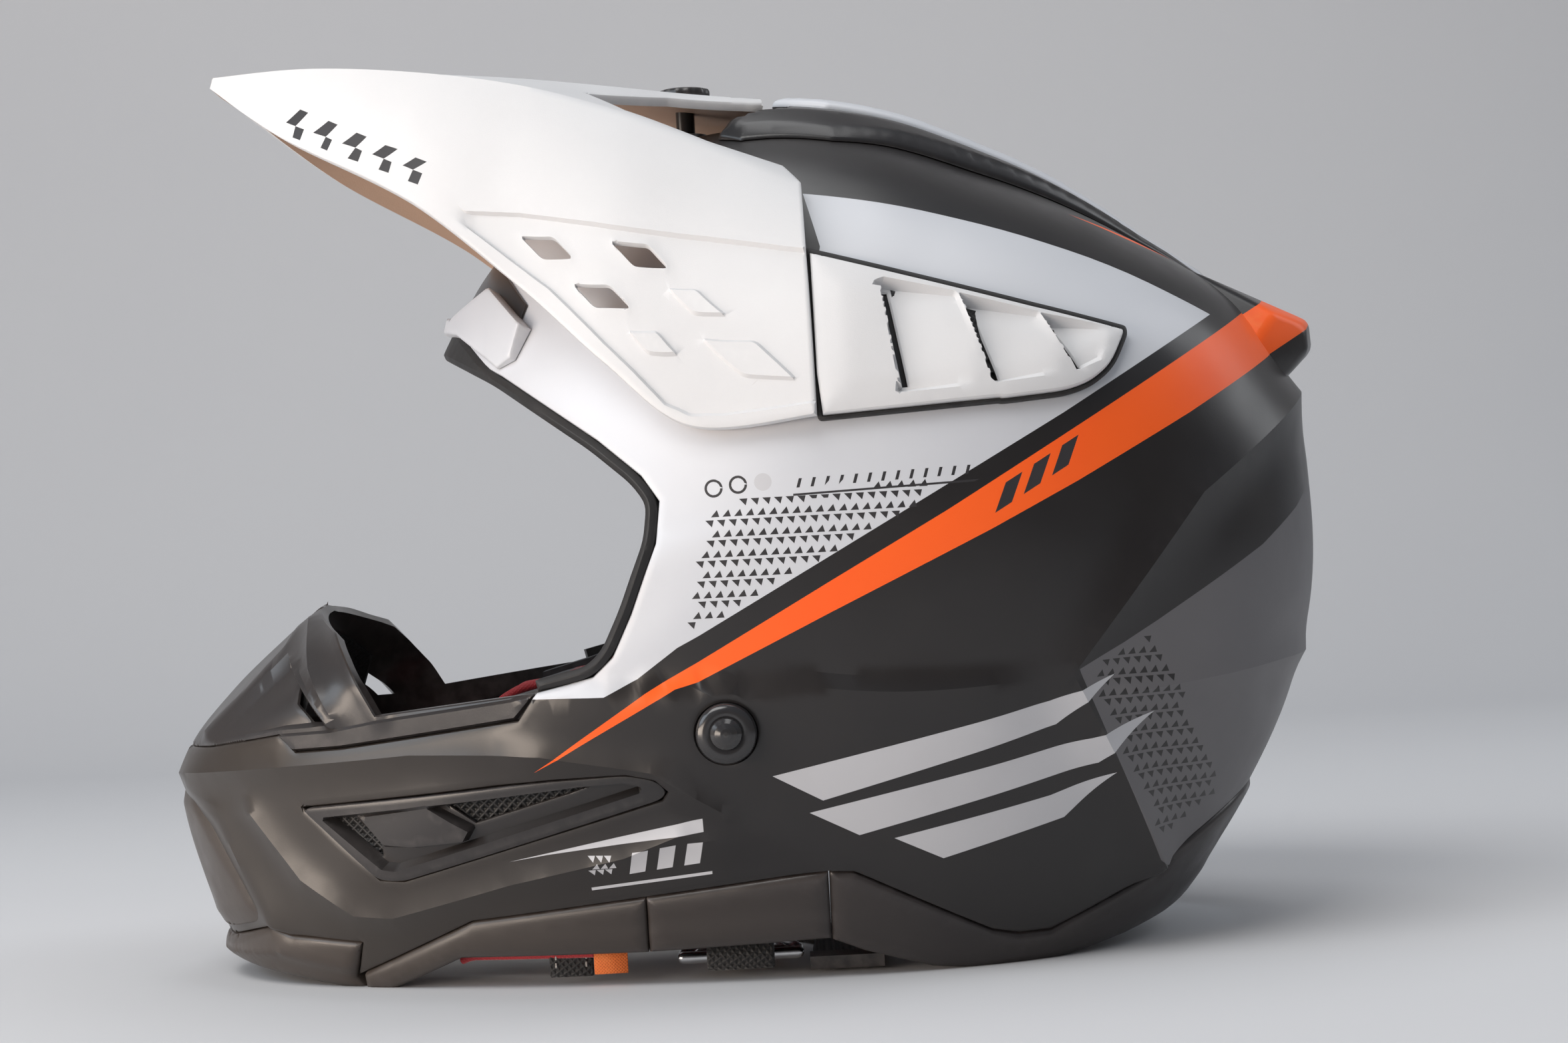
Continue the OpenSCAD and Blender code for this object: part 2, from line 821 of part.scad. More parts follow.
// Short half of the strap, sewn round the two ring bars.
module strap_left() {
    loop_r = wire_d / 2 + fit + 1.5;
    color([0.05, 0.05, 0.055])
        difference() {
            union() {
                webbing(on_left(concat(strap_drop, [[bar_a + 1, ring_z + 2.4]])), rivet_x,
                    webbing_w, webbing_t);
                for (y = [bar_a, bar_b])
                    translate([rivet_x - webbing_w / 2, -y, ring_z])
                        rotate([0, 90, 0])
                            cylinder(h = webbing_w, r = loop_r, $fn = fine);
                translate([rivet_x - webbing_w / 2, -bar_a, ring_z - loop_r])
                    cube([webbing_w, bar_a - bar_b, 2 * loop_r]);
            }
            for (y = [bar_a, bar_b])
                translate([rivet_x - webbing_w, -y, ring_z])
                    rotate([0, 90, 0])
                        cylinder(h = 2 * webbing_w, r = wire_d / 2 + fit, $fn = fine);
            rivet_hole(left);
        }
}

// Long half of the strap: down from the rivet, then across and forward of the rings.
module strap_right() {
    color([0.05, 0.05, 0.055]) {
        difference() {
            webbing(concat(strap_drop, [[72, 4.6], [62, 3]]), rivet_x, webbing_w, webbing_t);
            rivet_hole(right);
        }
        translate([0, 0, 2.1])
            linear_extrude(webbing_t)
                polygon([[rivet_x - webbing_w / 2, 62], [rivet_x + webbing_w / 2, 62],
                    [rivet_x + webbing_w / 2, 28], [tail_x + webbing_w / 2, -10],
                    [tail_x + webbing_w / 2, -72], [tail_x - webbing_w / 2, -72],
                    [tail_x - webbing_w / 2, -16], [rivet_x - webbing_w / 2, 22]]);
    }
}

// Padded sleeves round the two straps.
module strap_sleeves() {
    sleeve_w = webbing_w + 3;
    color([0.08, 0.08, 0.085])
        difference() {
            translate([rivet_x - sleeve_w / 2, 34, 1])
                cube([sleeve_w, 24, 5.4]);
            translate([rivet_x - webbing_w / 2 - 0.2, 20, 1.9])
                cube([webbing_w + 0.4, 50, webbing_t + 0.4]);
        }
}

module strap_end_clip() {
    color([0.1, 0.1, 0.1])
        translate([tail_x - webbing_w / 2 - 1, -80, 1.2])
            difference() {
                cube([webbing_w + 2, 12, 3.8]);
                translate([0.8, 7.5, 0.8])
                    cube([webbing_w + 0.4, 10, 2.2]);
            }
}

// D-shaped ring: a straight bar along X, two short legs and a round bow towards +Y.
module d_ring(bar_y, r, leg) {
    w = wire_d / 2;
    translate([rivet_x, -bar_y, ring_z]) {
        translate([-r, 0, 0])
            rotate([0, 90, 0])
                cylinder(h = 2 * r, r = w, $fn = fine);
        for (s = [-1, 1])
            translate([s * r, 0, 0]) {
                sphere(r = w, $fn = fine);
                if (leg > 0)
                    rotate([-90, 0, 0])
                        cylinder(h = leg, r = w, $fn = fine);
            }
        translate([0, leg, 0])
            rotate_extrude(angle = 180, $fn = fine)
                translate([r, 0])
                    circle(r = w, $fn = fine);
    }
}
module d_ring_outer() {
    color([0.7, 0.7, 0.72])
        d_ring(bar_a, outer_bow, outer_leg);
}
module d_ring_inner() {
    color([0.7, 0.7, 0.72])
        d_ring(bar_b, inner_bow, 0);
}

// Cloth tab looped on the outer ring's bow.
module pull_tab() {
    bow_y = -bar_a + outer_leg + outer_bow;
    color([0.8, 0.05, 0.08])
        translate([rivet_x - 6, bow_y, ring_z])
            difference() {
                union() {
                    rotate([0, 90, 0])
                        cylinder(h = 12, r = wire_d / 2 + 1.2, $fn = fine);
                    translate([0, 0, -1])
                        cube([12, 22, 2]);
                }
                translate([6, -outer_bow, 0])
                    rotate([0, 0, 45])
                        rotate_extrude(angle = 90, $fn = fine)
                            translate([outer_bow, 0])
                                circle(r = wire_d / 2 + fit, $fn = fine);
            }
}

// ---- Tabs ----
// Loop that hangs under each cheek pad, against the lower end of the pad's outer face.
tab_place = [-66, 74.4, 2];
tab_size = [14, 2.4, 28];
tag_place = [-52, -80, 3];
tag_size = [10, 1, 21];

module release_tab_on(side) {
    color([0.7, 0.06, 0.08])
        on_side(side)
            translate(tab_place)
                cube(tab_size);
}
module release_tab_left() {
    release_tab_on(left);
}
module release_tab_right() {
    release_tab_on(right);
}

module size_tag() {
    color([0.95, 0.42, 0.1])
        translate(tag_place)
            cube(tag_size);
}

outer_shell();
eps_liner();
snap_foam_left();
snap_foam_right();
chin_foam();
comfort_liner();
neck_roll();
cheek_pad_left();
cheek_pad_right();
pad_studs_left();
pad_studs_right();
snap_sockets();
visor();
visor_sockets();
visor_pivots();
visor_knob();
knob_insert();
side_pod_left();
side_pod_right();
pod_seal_left();
pod_seal_right();
pod_mesh_left();
pod_mesh_right();
crown_vent();
crown_spine();
brow_vent();
rear_spoiler();
mouth_vent();
mouth_filter();
chin_plate();
chin_guard();
chin_vent_left();
chin_vent_right();
chin_mesh_left();
chin_mesh_right();
eyeport_trim();
edge_trim_front_left();
edge_trim_front_right();
edge_trim_mid_left();
edge_trim_mid_right();
edge_trim_rear();
strap_rivets();
rivet_washers();
strap_left();
strap_right();
strap_sleeves();
strap_end_clip();
d_ring_outer();
d_ring_inner();
pull_tab();
release_tab_left();
release_tab_right();
size_tag();
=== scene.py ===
"""Looks of a motocross helmet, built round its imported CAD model.

The front of the helmet is -X, up is +Z and the rider's left is -Y. Shapes are worked out in
millimetres and become metres when a mesh is made. A panel is drawn as an outline on a chart, a
flat map of the surface it lies on, then lifted to that surface with its relief and thickness.
"""
import math

import bmesh
import bpy
import numpy as np
from mathutils import Matrix, Vector
from mathutils.bvhtree import BVHTree
from mathutils.geometry import delaunay_2d_cdt
from mathutils.kdtree import KDTree


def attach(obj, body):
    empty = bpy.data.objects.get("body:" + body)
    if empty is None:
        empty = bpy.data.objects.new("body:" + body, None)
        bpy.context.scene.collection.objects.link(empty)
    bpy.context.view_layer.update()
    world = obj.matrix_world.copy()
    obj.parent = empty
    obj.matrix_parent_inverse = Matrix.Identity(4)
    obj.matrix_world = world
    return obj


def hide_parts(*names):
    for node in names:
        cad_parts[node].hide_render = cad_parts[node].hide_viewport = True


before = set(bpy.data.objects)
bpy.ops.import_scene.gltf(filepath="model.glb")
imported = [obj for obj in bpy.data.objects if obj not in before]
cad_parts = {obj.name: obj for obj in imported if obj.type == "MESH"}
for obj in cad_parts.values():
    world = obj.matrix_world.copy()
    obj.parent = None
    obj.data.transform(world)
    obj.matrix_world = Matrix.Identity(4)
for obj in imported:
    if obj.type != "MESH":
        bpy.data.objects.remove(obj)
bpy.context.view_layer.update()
MM = 0.001
SIDE_AXES, PLAN_AXES = [0, 2], [0, 1]

# ---------------------------------------------------------------- shell surface

# Side outline of the shell, seen from its left, with the angles about MIDDLE rising.
MIDDLE = np.array([20.0, 140.0])
HALF_WIDTH = 122.0
ABOVE_SHELL, HALVINGS = 300.0, 40     # where the search for the shell's top starts, and its steps
NORMAL_STEP = 0.05                    # half the distance over which the shell's normals are taken
OUTLINE = np.array([
    [-136, 118], [-150, 106], [-168, 90], [-183, 72], [-184, 58], [-176, 25], [-165, -5],
    [-125, -30], [-60, -50], [20, -52], [85, -30], [125, 5], [150, 38], [168, 72], [177, 105],
    [178, 135], [174, 166], [160, 193], [122, 220], [80, 241], [45, 255], [10, 260],
    [-20, 256], [-43, 247], [-64, 233], [-80, 216], [-92, 196], [-103, 174], [-118, 145]],
    float)
_arms = OUTLINE - MIDDLE
_angles = np.arctan2(_arms[:, 1], _arms[:, 0])
_lengths = np.hypot(_arms[:, 0], _arms[:, 1])
KNOT_ANGLE = np.concatenate([_angles - 2 * np.pi, _angles, _angles + 2 * np.pi])
KNOT_RADIUS = np.tile(_lengths, 3)
KNOT_SLOPE = np.gradient(KNOT_RADIUS)
KNOT_SLOPE[1:-1] = ((KNOT_RADIUS[2:] - KNOT_RADIUS[:-2])
                    / (KNOT_ANGLE[2:] - KNOT_ANGLE[:-2]))


def outline_radius(angle):
    """Distance from MIDDLE to the side outline, a smooth curve through its points."""
    i = np.searchsorted(KNOT_ANGLE, angle, side="right") - 1
    span = KNOT_ANGLE[i + 1] - KNOT_ANGLE[i]
    s = (angle - KNOT_ANGLE[i]) / span
    return (KNOT_RADIUS[i] * (2 * s**3 - 3 * s**2 + 1)
            + span * KNOT_SLOPE[i] * (s**3 - 2 * s**2 + s)
            + KNOT_RADIUS[i + 1] * (3 * s**2 - 2 * s**3)
            + span * KNOT_SLOPE[i + 1] * (s**3 - s**2))


def roundness(angle):
    """Exponent of the shell's cross-section, 2 being an ellipse."""
    return 2.1 + 0.25 * np.cos(angle)


def level(x, y, z):
    """Below 1 inside the shell's outer face, 1 on it and above 1 outside."""
    angle = np.arctan2(z - MIDDLE[1], x - MIDDLE[0])
    power = roundness(angle)
    radius = np.hypot(x - MIDDLE[0], z - MIDDLE[1])
    return (radius / outline_radius(angle))**power + (np.abs(y) / HALF_WIDTH)**power


def outward(p):
    """Unit normals of the shell's outer face at points p."""
    x, y, z = p.T
    h = NORMAL_STEP
    n = np.stack([level(x + h, y, z) - level(x - h, y, z),
                  level(x, y + h, z) - level(x, y - h, z),
                  level(x, y, z + h) - level(x, y, z - h)], 1)
    return n / np.linalg.norm(n, axis=1)[:, None]


class SideChart:
    """Map of the right half of the shell, made from side view points (x, z).

    Every chart has flat(), which maps its own kind of points onto it, rim(), which says which of
    its points q lie on the helmet's middle plane, and place(), which gives the places and the unit
    normals of its points q.
    """

    @staticmethod
    def flat(points):
        arm = np.asarray(points, float) - MIDDLE
        angle = np.arctan2(arm[:, 1], arm[:, 0])
        edge = outline_radius(angle)
        share = np.clip(np.hypot(arm[:, 0], arm[:, 1]) / edge, 0, 1)
        reach = np.arcsin(share**(roundness(angle) / 2)) * 2 / np.pi * edge
        return np.stack([reach * np.cos(angle), reach * np.sin(angle)], 1)

    @staticmethod
    def rim(q):
        edge = outline_radius(np.arctan2(q[:, 1], q[:, 0]))
        return np.hypot(q[:, 0], q[:, 1]) > edge * 0.9995

    @staticmethod
    def place(q):
        angle = np.arctan2(q[:, 1], q[:, 0])
        edge = outline_radius(angle)
        turn = np.clip(np.hypot(q[:, 0], q[:, 1]) / edge, 0, 1) * np.pi / 2
        power = 2 / roundness(angle)
        radius = edge * np.sin(turn)**power
        y = HALF_WIDTH * np.maximum(np.cos(turn), 0)**power
        y[SideChart.rim(q)] = 0
        p = np.stack([MIDDLE[0] + radius * np.cos(angle), y,
                      MIDDLE[1] + radius * np.sin(angle)], 1)
        return p, outward(p)


class FlatChart:
    """Chart whose points are its own coordinates, the second one out from the middle plane."""

    @staticmethod
    def flat(points):
        return np.asarray(points, float)

    @staticmethod
    def rim(q):
        return q[:, 1] < 1e-3


class TopChart(FlatChart):
    """Map of the right half of the shell's top, made from plan view points (x, y)."""

    @staticmethod
    def place(q):
        x = q[:, 0]
        y = np.maximum(q[:, 1], 0)
        y[TopChart.rim(q)] = 0
        low = np.full(len(q), MIDDLE[1])
        high = np.full(len(q), ABOVE_SHELL)
        for _ in range(HALVINGS):
            mid = (low + high) / 2
            inside_it = level(x, y, mid) < 1
            low = np.where(inside_it, mid, low)
            high = np.where(inside_it, high, mid)
        p = np.stack([x, y, low], 1)
        return p, outward(p)


# ---------------------------------------------------------------- visor surface

VISOR_CREASE = np.array([[-160, 32, 281.5], [-128, 54, 279.5], [-95, 64, 275.5],
                         [-62, 70, 269], [-32, 75, 259], [-8, 81, 248], [21.4, 88, 233.5]])
VISOR_EDGE = np.array([[-161, 32, 278.5], [-135, 62, 258], [-94, 86, 234], [-62, 100, 206],
                       [-38, 112.5, 182], [-14, 121, 162.5], [21.4, 127, 163.8]])
VISOR_SHOULDER = np.array([[-162, 20, 282.5], [-130, 36, 281], [-98, 44, 278],
                           [-66, 44, 275], [-38, 38, 272], [-12, 31, 269], [11, 26, 266.8]])
VISOR_MIDDLE = np.array([[-163, 0, 283], [-131, 0, 281.6], [-99, 0, 278.8], [-67, 0, 276],
                         [-39, 0, 273], [-13, 0, 270], [11, 0, 267.7]])
VISOR_BULGE = np.array([[0.0], [1], [2], [4], [7], [8], [8]])
VISOR_STEPS = len(VISOR_MIDDLE) - 1
VISOR_STRIDE = 31.0               # millimetres of the chart to one step along the curves
VISOR_LENGTH = VISOR_STEPS * VISOR_STRIDE
# Where the middle, the shoulder, the crease and the lower edge lie on the chart.
VISOR_BANDS = np.array([0.0, 40.0, 75.0, 160.0])


def along(curve, u):
    """Smooth curve through points; u runs from 0 to the last index."""
    last = len(curve) - 1
    i = np.clip(np.floor(u).astype(int), 0, last - 1)
    s = (u - i)[:, None]
    a, b = curve[np.maximum(i - 1, 0)], curve[i]
    c, d = curve[i + 1], curve[np.minimum(i + 2, last)]
    return 0.5 * (2 * b + (c - a) * s + (2 * a - 5 * b + 4 * c - d) * s**2
                  + (3 * b - a - 3 * c + d) * s**3)


class VisorChart(FlatChart):
    """Map of the right half of the visor: U runs back from the tip, V out from the middle."""

    @staticmethod
    def skin(q):
        """Places of chart points on the visor's outer face."""
        u = np.clip(q[:, 0] / VISOR_STRIDE, 0, VISOR_STEPS)
        lines = [along(c, u) for c in (VISOR_MIDDLE, VISOR_SHOULDER, VISOR_CREASE, VISOR_EDGE)]
        bulge = along(VISOR_BULGE, u)
        p = lines[0].copy()
        for band in range(3):
            low, high = VISOR_BANDS[band], VISOR_BANDS[band + 1]
            v = ((q[:, 1] - low) / (high - low))[:, None]
            strip = lines[band] + (lines[band + 1] - lines[band]) * v
            if band == 2:
                strip += bulge * 4 * v * (1 - v) * np.array([0, 0.85, 0.5])
            here = q[:, 1] >= low
            p[here] = strip[here]
        return p

    @staticmethod
    def place(q):
        h = 0.8
        p = VisorChart.skin(q)
        du = VisorChart.skin(q + [h, 0]) - VisorChart.skin(q - [h, 0])
        dv = (VisorChart.skin(q + [0, h])
              - VisorChart.skin(np.stack([q[:, 0], np.abs(q[:, 1] - h)], 1)))
        n = np.cross(du, dv)
        n /= np.maximum(np.linalg.norm(n, axis=1), 1e-9)[:, None]
        on_rim = VisorChart.rim(q)
        p[on_rim, 1] = 0
        n[on_rim] = [0, 0, 1]
        return p, n

    @staticmethod
    def find(points, axes, low, high):
        """Chart points whose two coordinates axes match points, for V from low to high."""
        u, v = np.meshgrid(np.linspace(0, VISOR_LENGTH, 240), np.linspace(low, high, 160))
        grid = np.stack([u.ravel(), v.ravel()], 1)
        seen = VisorChart.skin(grid)[:, axes]
        out = []
        for point in points:
            gap = np.sum((seen - point)**2, 1)
            near = np.argsort(gap)[:4]
            weight = 1 / (gap[near] + 0.01)
            out.append((grid[near] * weight[:, None]).sum(0) / weight.sum())
        return np.array(out)


# ---------------------------------------------------------------- outlines

def dense(points, step, closed=True):
    """Points along a line or a closed outline, no more than step apart."""
    points = np.asarray(points, float)
    ends = np.roll(points, -1, 0) if closed else points[1:]
    out = []
    for a, b in zip(points, ends):
        n = max(1, math.ceil(np.linalg.norm(b - a) / step))
        out += [a + (b - a) * i / n for i in range(n)]
    if not closed:
        out.append(points[-1])
    return np.array(out)


def soften(points, cut, closed=True, n=5):
    """Outline with each corner turned into a small curve that starts cut before it."""
    points = np.asarray(points, float)
    out = []
    for i, p in enumerate(points):
        if not closed and i in (0, len(points) - 1):
            out.append(p)
            continue
        a, b = points[i - 1] - p, points[(i + 1) % len(points)] - p
        la, lb = np.linalg.norm(a), np.linalg.norm(b)
        a *= min(cut, la * 0.45) / la
        b *= min(cut, lb * 0.45) / lb
        for s in np.linspace(0, 1, n):
            out.append(p + a * (1 - s)**2 + b * s**2)
    return np.array(out)


def inset(points, distance):
    """Closed outline moved inwards by distance, with mitred corners."""
    points = np.asarray(points, float)
    back, ahead = points - np.roll(points, 1, 0), np.roll(points, -1, 0) - points
    area = np.sum(points[:, 0] * np.roll(points[:, 1], -1)
                  - np.roll(points[:, 0], -1) * points[:, 1])
    turn = distance if area > 0 else -distance
    na = np.stack([-back[:, 1], back[:, 0]], 1) / np.linalg.norm(back, axis=1)[:, None]
    nb = np.stack([-ahead[:, 1], ahead[:, 0]], 1) / np.linalg.norm(ahead, axis=1)[:, None]
    mitre = na + nb
    return points + mitre * turn / np.maximum(0.35, 1 + np.sum(na * nb, 1))[:, None]


def circle(centre, radius, n):
    """Outline of a circle with n points."""
    a = np.linspace(0, 2 * np.pi, n, endpoint=False)
    return np.stack([centre[0] + radius * np.cos(a), centre[1] + radius * np.sin(a)], 1)


def smooth_step(t):
    """Rises from 0 to 1 as t does, with level ends."""
    t = np.clip(t, 0, 1)
    return t * t * (3 - 2 * t)


def gap_to(points, segments):
    """Distance from each point to the nearest of some segments."""
    best = np.full(len(points), 1e9)
    for a, b in segments:
        d = b - a
        t = np.clip(((points - a) @ d) / max(d @ d, 1e-12), 0, 1)
        best = np.minimum(best, np.sum((points - a - t[:, None] * d)**2, 1))
    return np.sqrt(best)


def height_on(line, x):
    """Second coordinate of a line that runs along the first, at x."""
    return np.interp(x, [point[0] for point in line], [point[1] for point in line])


def line_gap(points, line, closed=False):
    """Distance from each point to a line or a closed outline."""
    line = np.asarray(line, float)
    ends = np.roll(line, -1, 0) if closed else line[1:]
    return gap_to(points, list(zip(line, ends)))


def inside(points, segments):
    """Which points lie inside the closed loops that the segments make up."""
    x, y = points.T
    odd = np.zeros(len(points), bool)
    for a, b in segments:
        if a[1] == b[1]:
            continue
        crosses = (a[1] > y) != (b[1] > y)
        odd ^= crosses & (x < a[0] + (y - a[1]) * (b[0] - a[0]) / (b[1] - a[1]))
    return odd


def in_outline(points, outline):
    """Which points lie inside one closed outline."""
    outline = np.asarray(outline, float)
    return inside(points, list(zip(outline, np.roll(outline, -1, 0))))


# ---------------------------------------------------------------- panels

def triangulate(points, edges, segments):
    """Delaunay triangles over points that keep edges and lie inside segments."""
    made = delaunay_2d_cdt([Vector(p) for p in points], edges, [], 0, 1e-4)
    q = np.array([v[:] for v in made[0]])
    tri = np.array(made[2])
    return q, tri[inside(q[tri].mean(1), segments)]


def border(tri):
    """Directed edges that only one triangle has."""
    edges = np.concatenate([tri[:, [0, 1]], tri[:, [1, 2]], tri[:, [2, 0]]])
    key = np.sort(edges, 1)
    _, first, count = np.unique(key, axis=0, return_index=True, return_counts=True)
    return edges[first[count == 1]]


def spread(box, step):
    """Staggered grid of points over a box."""
    (x0, y0), (x1, y1) = box
    rows = np.arange(y0, y1, step * 0.866)
    return np.array([(x + (step / 2 if j % 2 else 0), y)
                     for j, y in enumerate(rows) for x in np.arange(x0, x1, step)])


def thin_out(points, gap, fixed=()):
    """Drops points closer than gap to a fixed one or to one kept before."""
    tree = KDTree(len(fixed) + len(points))
    everything = list(fixed) + list(points)
    for i, p in enumerate(everything):
        tree.insert((p[0], p[1], 0), i)
    tree.balance()
    dropped = set()
    first = len(fixed)
    for i in range(first, len(everything)):
        p = everything[i]
        for _, j, _ in tree.find_range((p[0], p[1], 0), gap):
            if j < i and j not in dropped:
                dropped.add(i)
                break
    return [everything[i] for i in range(first, len(everything)) if i not in dropped]


def closed_ring(points, gap):
    """Outline without points nearer than gap to the one before."""
    kept = [points[0]]
    for p in points[1:]:
        if np.linalg.norm(p - kept[-1]) > gap:
            kept.append(p)
    if np.linalg.norm(kept[0] - kept[-1]) < gap:
        kept.pop()
    return np.array(kept)


def depth_of(rule, p, e, q):
    """Depths at places p from a number or a function of p, edge distance e and chart point q."""
    return rule(p, e, q) if callable(rule) else np.full(len(p), float(rule))


def linked(name, data):
    """Object with some data, linked to the scene."""
    made = bpy.data.objects.new(name, data)
    bpy.context.scene.collection.objects.link(made)
    return made


def make_object(name, verts, faces, materials, kinds=None, sharp=35.0):
    """Mesh object from millimetre points, smooth but for edges sharper than sharp degrees."""
    mesh = bpy.data.meshes.new(name)
    mesh.from_pydata((np.asarray(verts) * MM).tolist(), [], [tuple(f) for f in faces])
    for m in materials:
        mesh.materials.append(m)
    if kinds is not None:
        mesh.polygons.foreach_set("material_index", np.asarray(kinds, np.int32))
    mesh.validate()
    mesh.shade_smooth()
    mesh.set_sharp_from_angle(angle=math.radians(sharp))
    return linked(name, mesh)


FAR_FROM_EDGE = 50.0          # edge distance of every point that no wall is near
WALL_REACH = 16.0             # how near a wall has to be for the distance to be worked out
EDGE_ROWS = (0.3, 1.0, 2.2)   # rows of points beside an edge, in multiples of its rounding


def rows_beside(ring, rounding):
    """Rows of points on both sides of an outline, which carry its rounded edge."""
    ahead = np.roll(ring, -1, 0) - np.roll(ring, 1, 0)
    normal = np.stack([-ahead[:, 1], ahead[:, 0]], 1)
    normal /= np.maximum(np.linalg.norm(normal, axis=1), 1e-9)[:, None]
    return [ring + normal * share * rounding * sign for share in EDGE_ROWS for sign in (-1, 1)]


def edge_distance(q, walls):
    """Distance of chart points from a panel's walls."""
    distance = np.full(len(q), FAR_FROM_EDGE)
    tree = KDTree(len(walls))
    for i, (a, b) in enumerate(walls):
        tree.insert((*((a + b) / 2), 0), i)
    tree.balance()
    near = np.array([tree.find((*c, 0))[2] for c in q]) < WALL_REACH
    distance[near] = gap_to(q[near], walls)
    return distance


def lifted(chart, q, depth, e, rounding=0.0):
    """Places of chart points at a depth, sunk further where the edge distance e rounds them."""
    p, n = chart.place(q)
    k = np.clip(rounding - e, 0, rounding)
    d = depth_of(depth, p, e, q) + rounding - np.sqrt(np.maximum(rounding * rounding - k * k, 0))
    return p - n * d[:, None]


def both_halves(verts, faces, on_rim):
    """The right half of a piece and its mirror image, joined at the middle plane."""
    total = len(verts)
    verts[on_rim, 1] = 0
    other = np.where(on_rim, np.arange(total), np.arange(total) + total)
    faces = faces + [tuple(other[i] for i in reversed(f)) for f in faces]
    verts = np.concatenate([verts, verts * [1, -1, 1]])
    used = np.unique(np.concatenate([np.array(f) for f in faces]))
    renumber = np.full(len(verts), -1)
    renumber[used] = np.arange(len(used))
    return verts[used], [tuple(renumber[list(f)]) for f in faces]


def panel(name, chart, loops, outer, inner, materials, side=0, step=3.0, rounding=0.8,
          lines=(), regions=(), coarse=8.0, sharp=35.0, back=0, bore=0):
    """Solid panel on a chart's surface, for the right (1), the left (-1) or both sides (0).

    loops are its outline and holes, in the chart's own kind of points. outer and inner are depths
    below the surface, or functions of the points, their distance from the panel's edge and their
    place on the chart. lines become mesh edges, and regions are (outline, index of the material
    inside it). back and bore are the indices of the inner face's and the holes' materials.
    """
    rings = [closed_ring(chart.flat(dense(loop, step / 2)), step / 6) for loop in loops]
    creases = [chart.flat(dense(line, step / 2, closed=False)) for line in lines]
    areas = [closed_ring(chart.flat(dense(outline, step / 2)), step / 8)
             for outline, _ in regions]
    segments = [pair for ring in rings for pair in zip(ring, np.roll(ring, -1, 0))]
    walls = [s for s in segments if not chart.rim(np.array([(s[0] + s[1]) / 2]))[0]]
    fixed, edges = [], []
    for group, closed in ((rings, True), (creases, False), (areas, True)):
        for ring in group:
            start, n = len(fixed), len(ring)
            fixed += list(ring)
            edges += [(start + i, start + (i + 1) % n) for i in range(n if closed else n - 1)]

    # The outer face: rows of points along its edges and an even grid between them.
    rows = np.concatenate([row for ring in rings for row in rows_beside(ring, rounding)])
    rows = rows[inside(rows, segments)]
    rows = rows[gap_to(rows, walls) > 0.27 * rounding]
    rows = thin_out(list(rows), 0.22 * rounding, fixed)
    corners = np.concatenate(rings)
    box = corners.min(0), corners.max(0)
    grid = spread(box, step)
    grid = thin_out(list(grid[inside(grid, segments)]), 0.5 * step, fixed + rows)
    q, tri = triangulate(fixed + rows + grid, edges, segments)
    top = lifted(chart, q, outer, edge_distance(q, walls), rounding)
    centre = q[tri].mean(1)
    kinds = np.zeros(len(tri), int)
    for ring, (_, kind) in zip(areas, regions):
        kinds[in_outline(centre, ring)] = kind

    # The inner face: coarser, but with the same border.
    rim_edges = border(tri)
    used = np.unique(rim_edges)
    place_in = {v: i for i, v in enumerate(used)}
    back_edges = [(place_in[a], place_in[b]) for a, b in rim_edges]
    back_segments = [(q[a], q[b]) for a, b in rim_edges]
    back_grid = spread(box, coarse)
    back_grid = back_grid[inside(back_grid, back_segments)]
    back_grid = thin_out(list(back_grid), 0.5 * coarse, list(q[used]))
    back_q, back_tri = triangulate(list(q[used]) + back_grid, back_edges, back_segments)
    bottom = lifted(chart, back_q, inner, np.full(len(back_q), FAR_FROM_EDGE))

    n = len(q)
    verts = np.concatenate([top, bottom])
    faces = [tuple(t) for t in tri] + [(c + n, b + n, a + n) for a, b, c in back_tri]
    face_kinds = list(kinds) + [back] * len(back_tri)
    on_rim = chart.rim(np.concatenate([q, back_q]))
    outer_walls = list(zip(rings[0], np.roll(rings[0], -1, 0)))
    in_hole = gap_to((q[rim_edges[:, 0]] + q[rim_edges[:, 1]]) / 2, outer_walls) > 0.01
    for (a, b), bored in zip(rim_edges, in_hole):
        if side == 0 and on_rim[a] and on_rim[b]:
            continue
        faces.append((b, a, place_in[a] + n, place_in[b] + n))
        face_kinds.append(bore if bored else 0)
    a, b, c = verts[tri[:, 0]], verts[tri[:, 1]], verts[tri[:, 2]]
    if np.sum(np.cross(b - a, c - a) * chart.place(centre)[1]) < 0:
        faces = [tuple(reversed(f)) for f in faces]
    if side == -1:
        verts, faces = verts * [1, -1, 1], [tuple(reversed(f)) for f in faces]
    if side == 0:
        verts, faces = both_halves(verts, faces, on_rim)
        face_kinds += face_kinds
    return make_object(name, verts, faces, materials, face_kinds, sharp)


class Steps:
    """Relief made of sunk or raised areas, each with a straight wall inside its outline."""

    def __init__(self, ground=0.0):
        self.ground = ground
        self.areas = []

    def add(self, outline, rule, wall, open_end=False):
        """rule is a depth or a function of points; with open_end the last side has no wall."""
        self.areas.append((np.asarray(outline, float), rule, wall, not open_end))
        return self

    def lines(self):
        """Top and foot of each wall, for a panel's lines."""
        rings = [ring for outline, _, wall, _ in self.areas
                 for ring in (outline, inset(outline, wall))]
        return [np.vstack([ring, ring[:1]]) for ring in rings]

    def depth(self, points):
        """Depth of the relief at side view points."""
        d = np.full(len(points), float(self.ground))
        for outline, rule, wall, closed in self.areas:
            share = np.clip(line_gap(points, outline, closed) / wall, 0, 1)
            share *= in_outline(points, outline)
            d += ((rule(points) if callable(rule) else rule) - d) * share
        return d


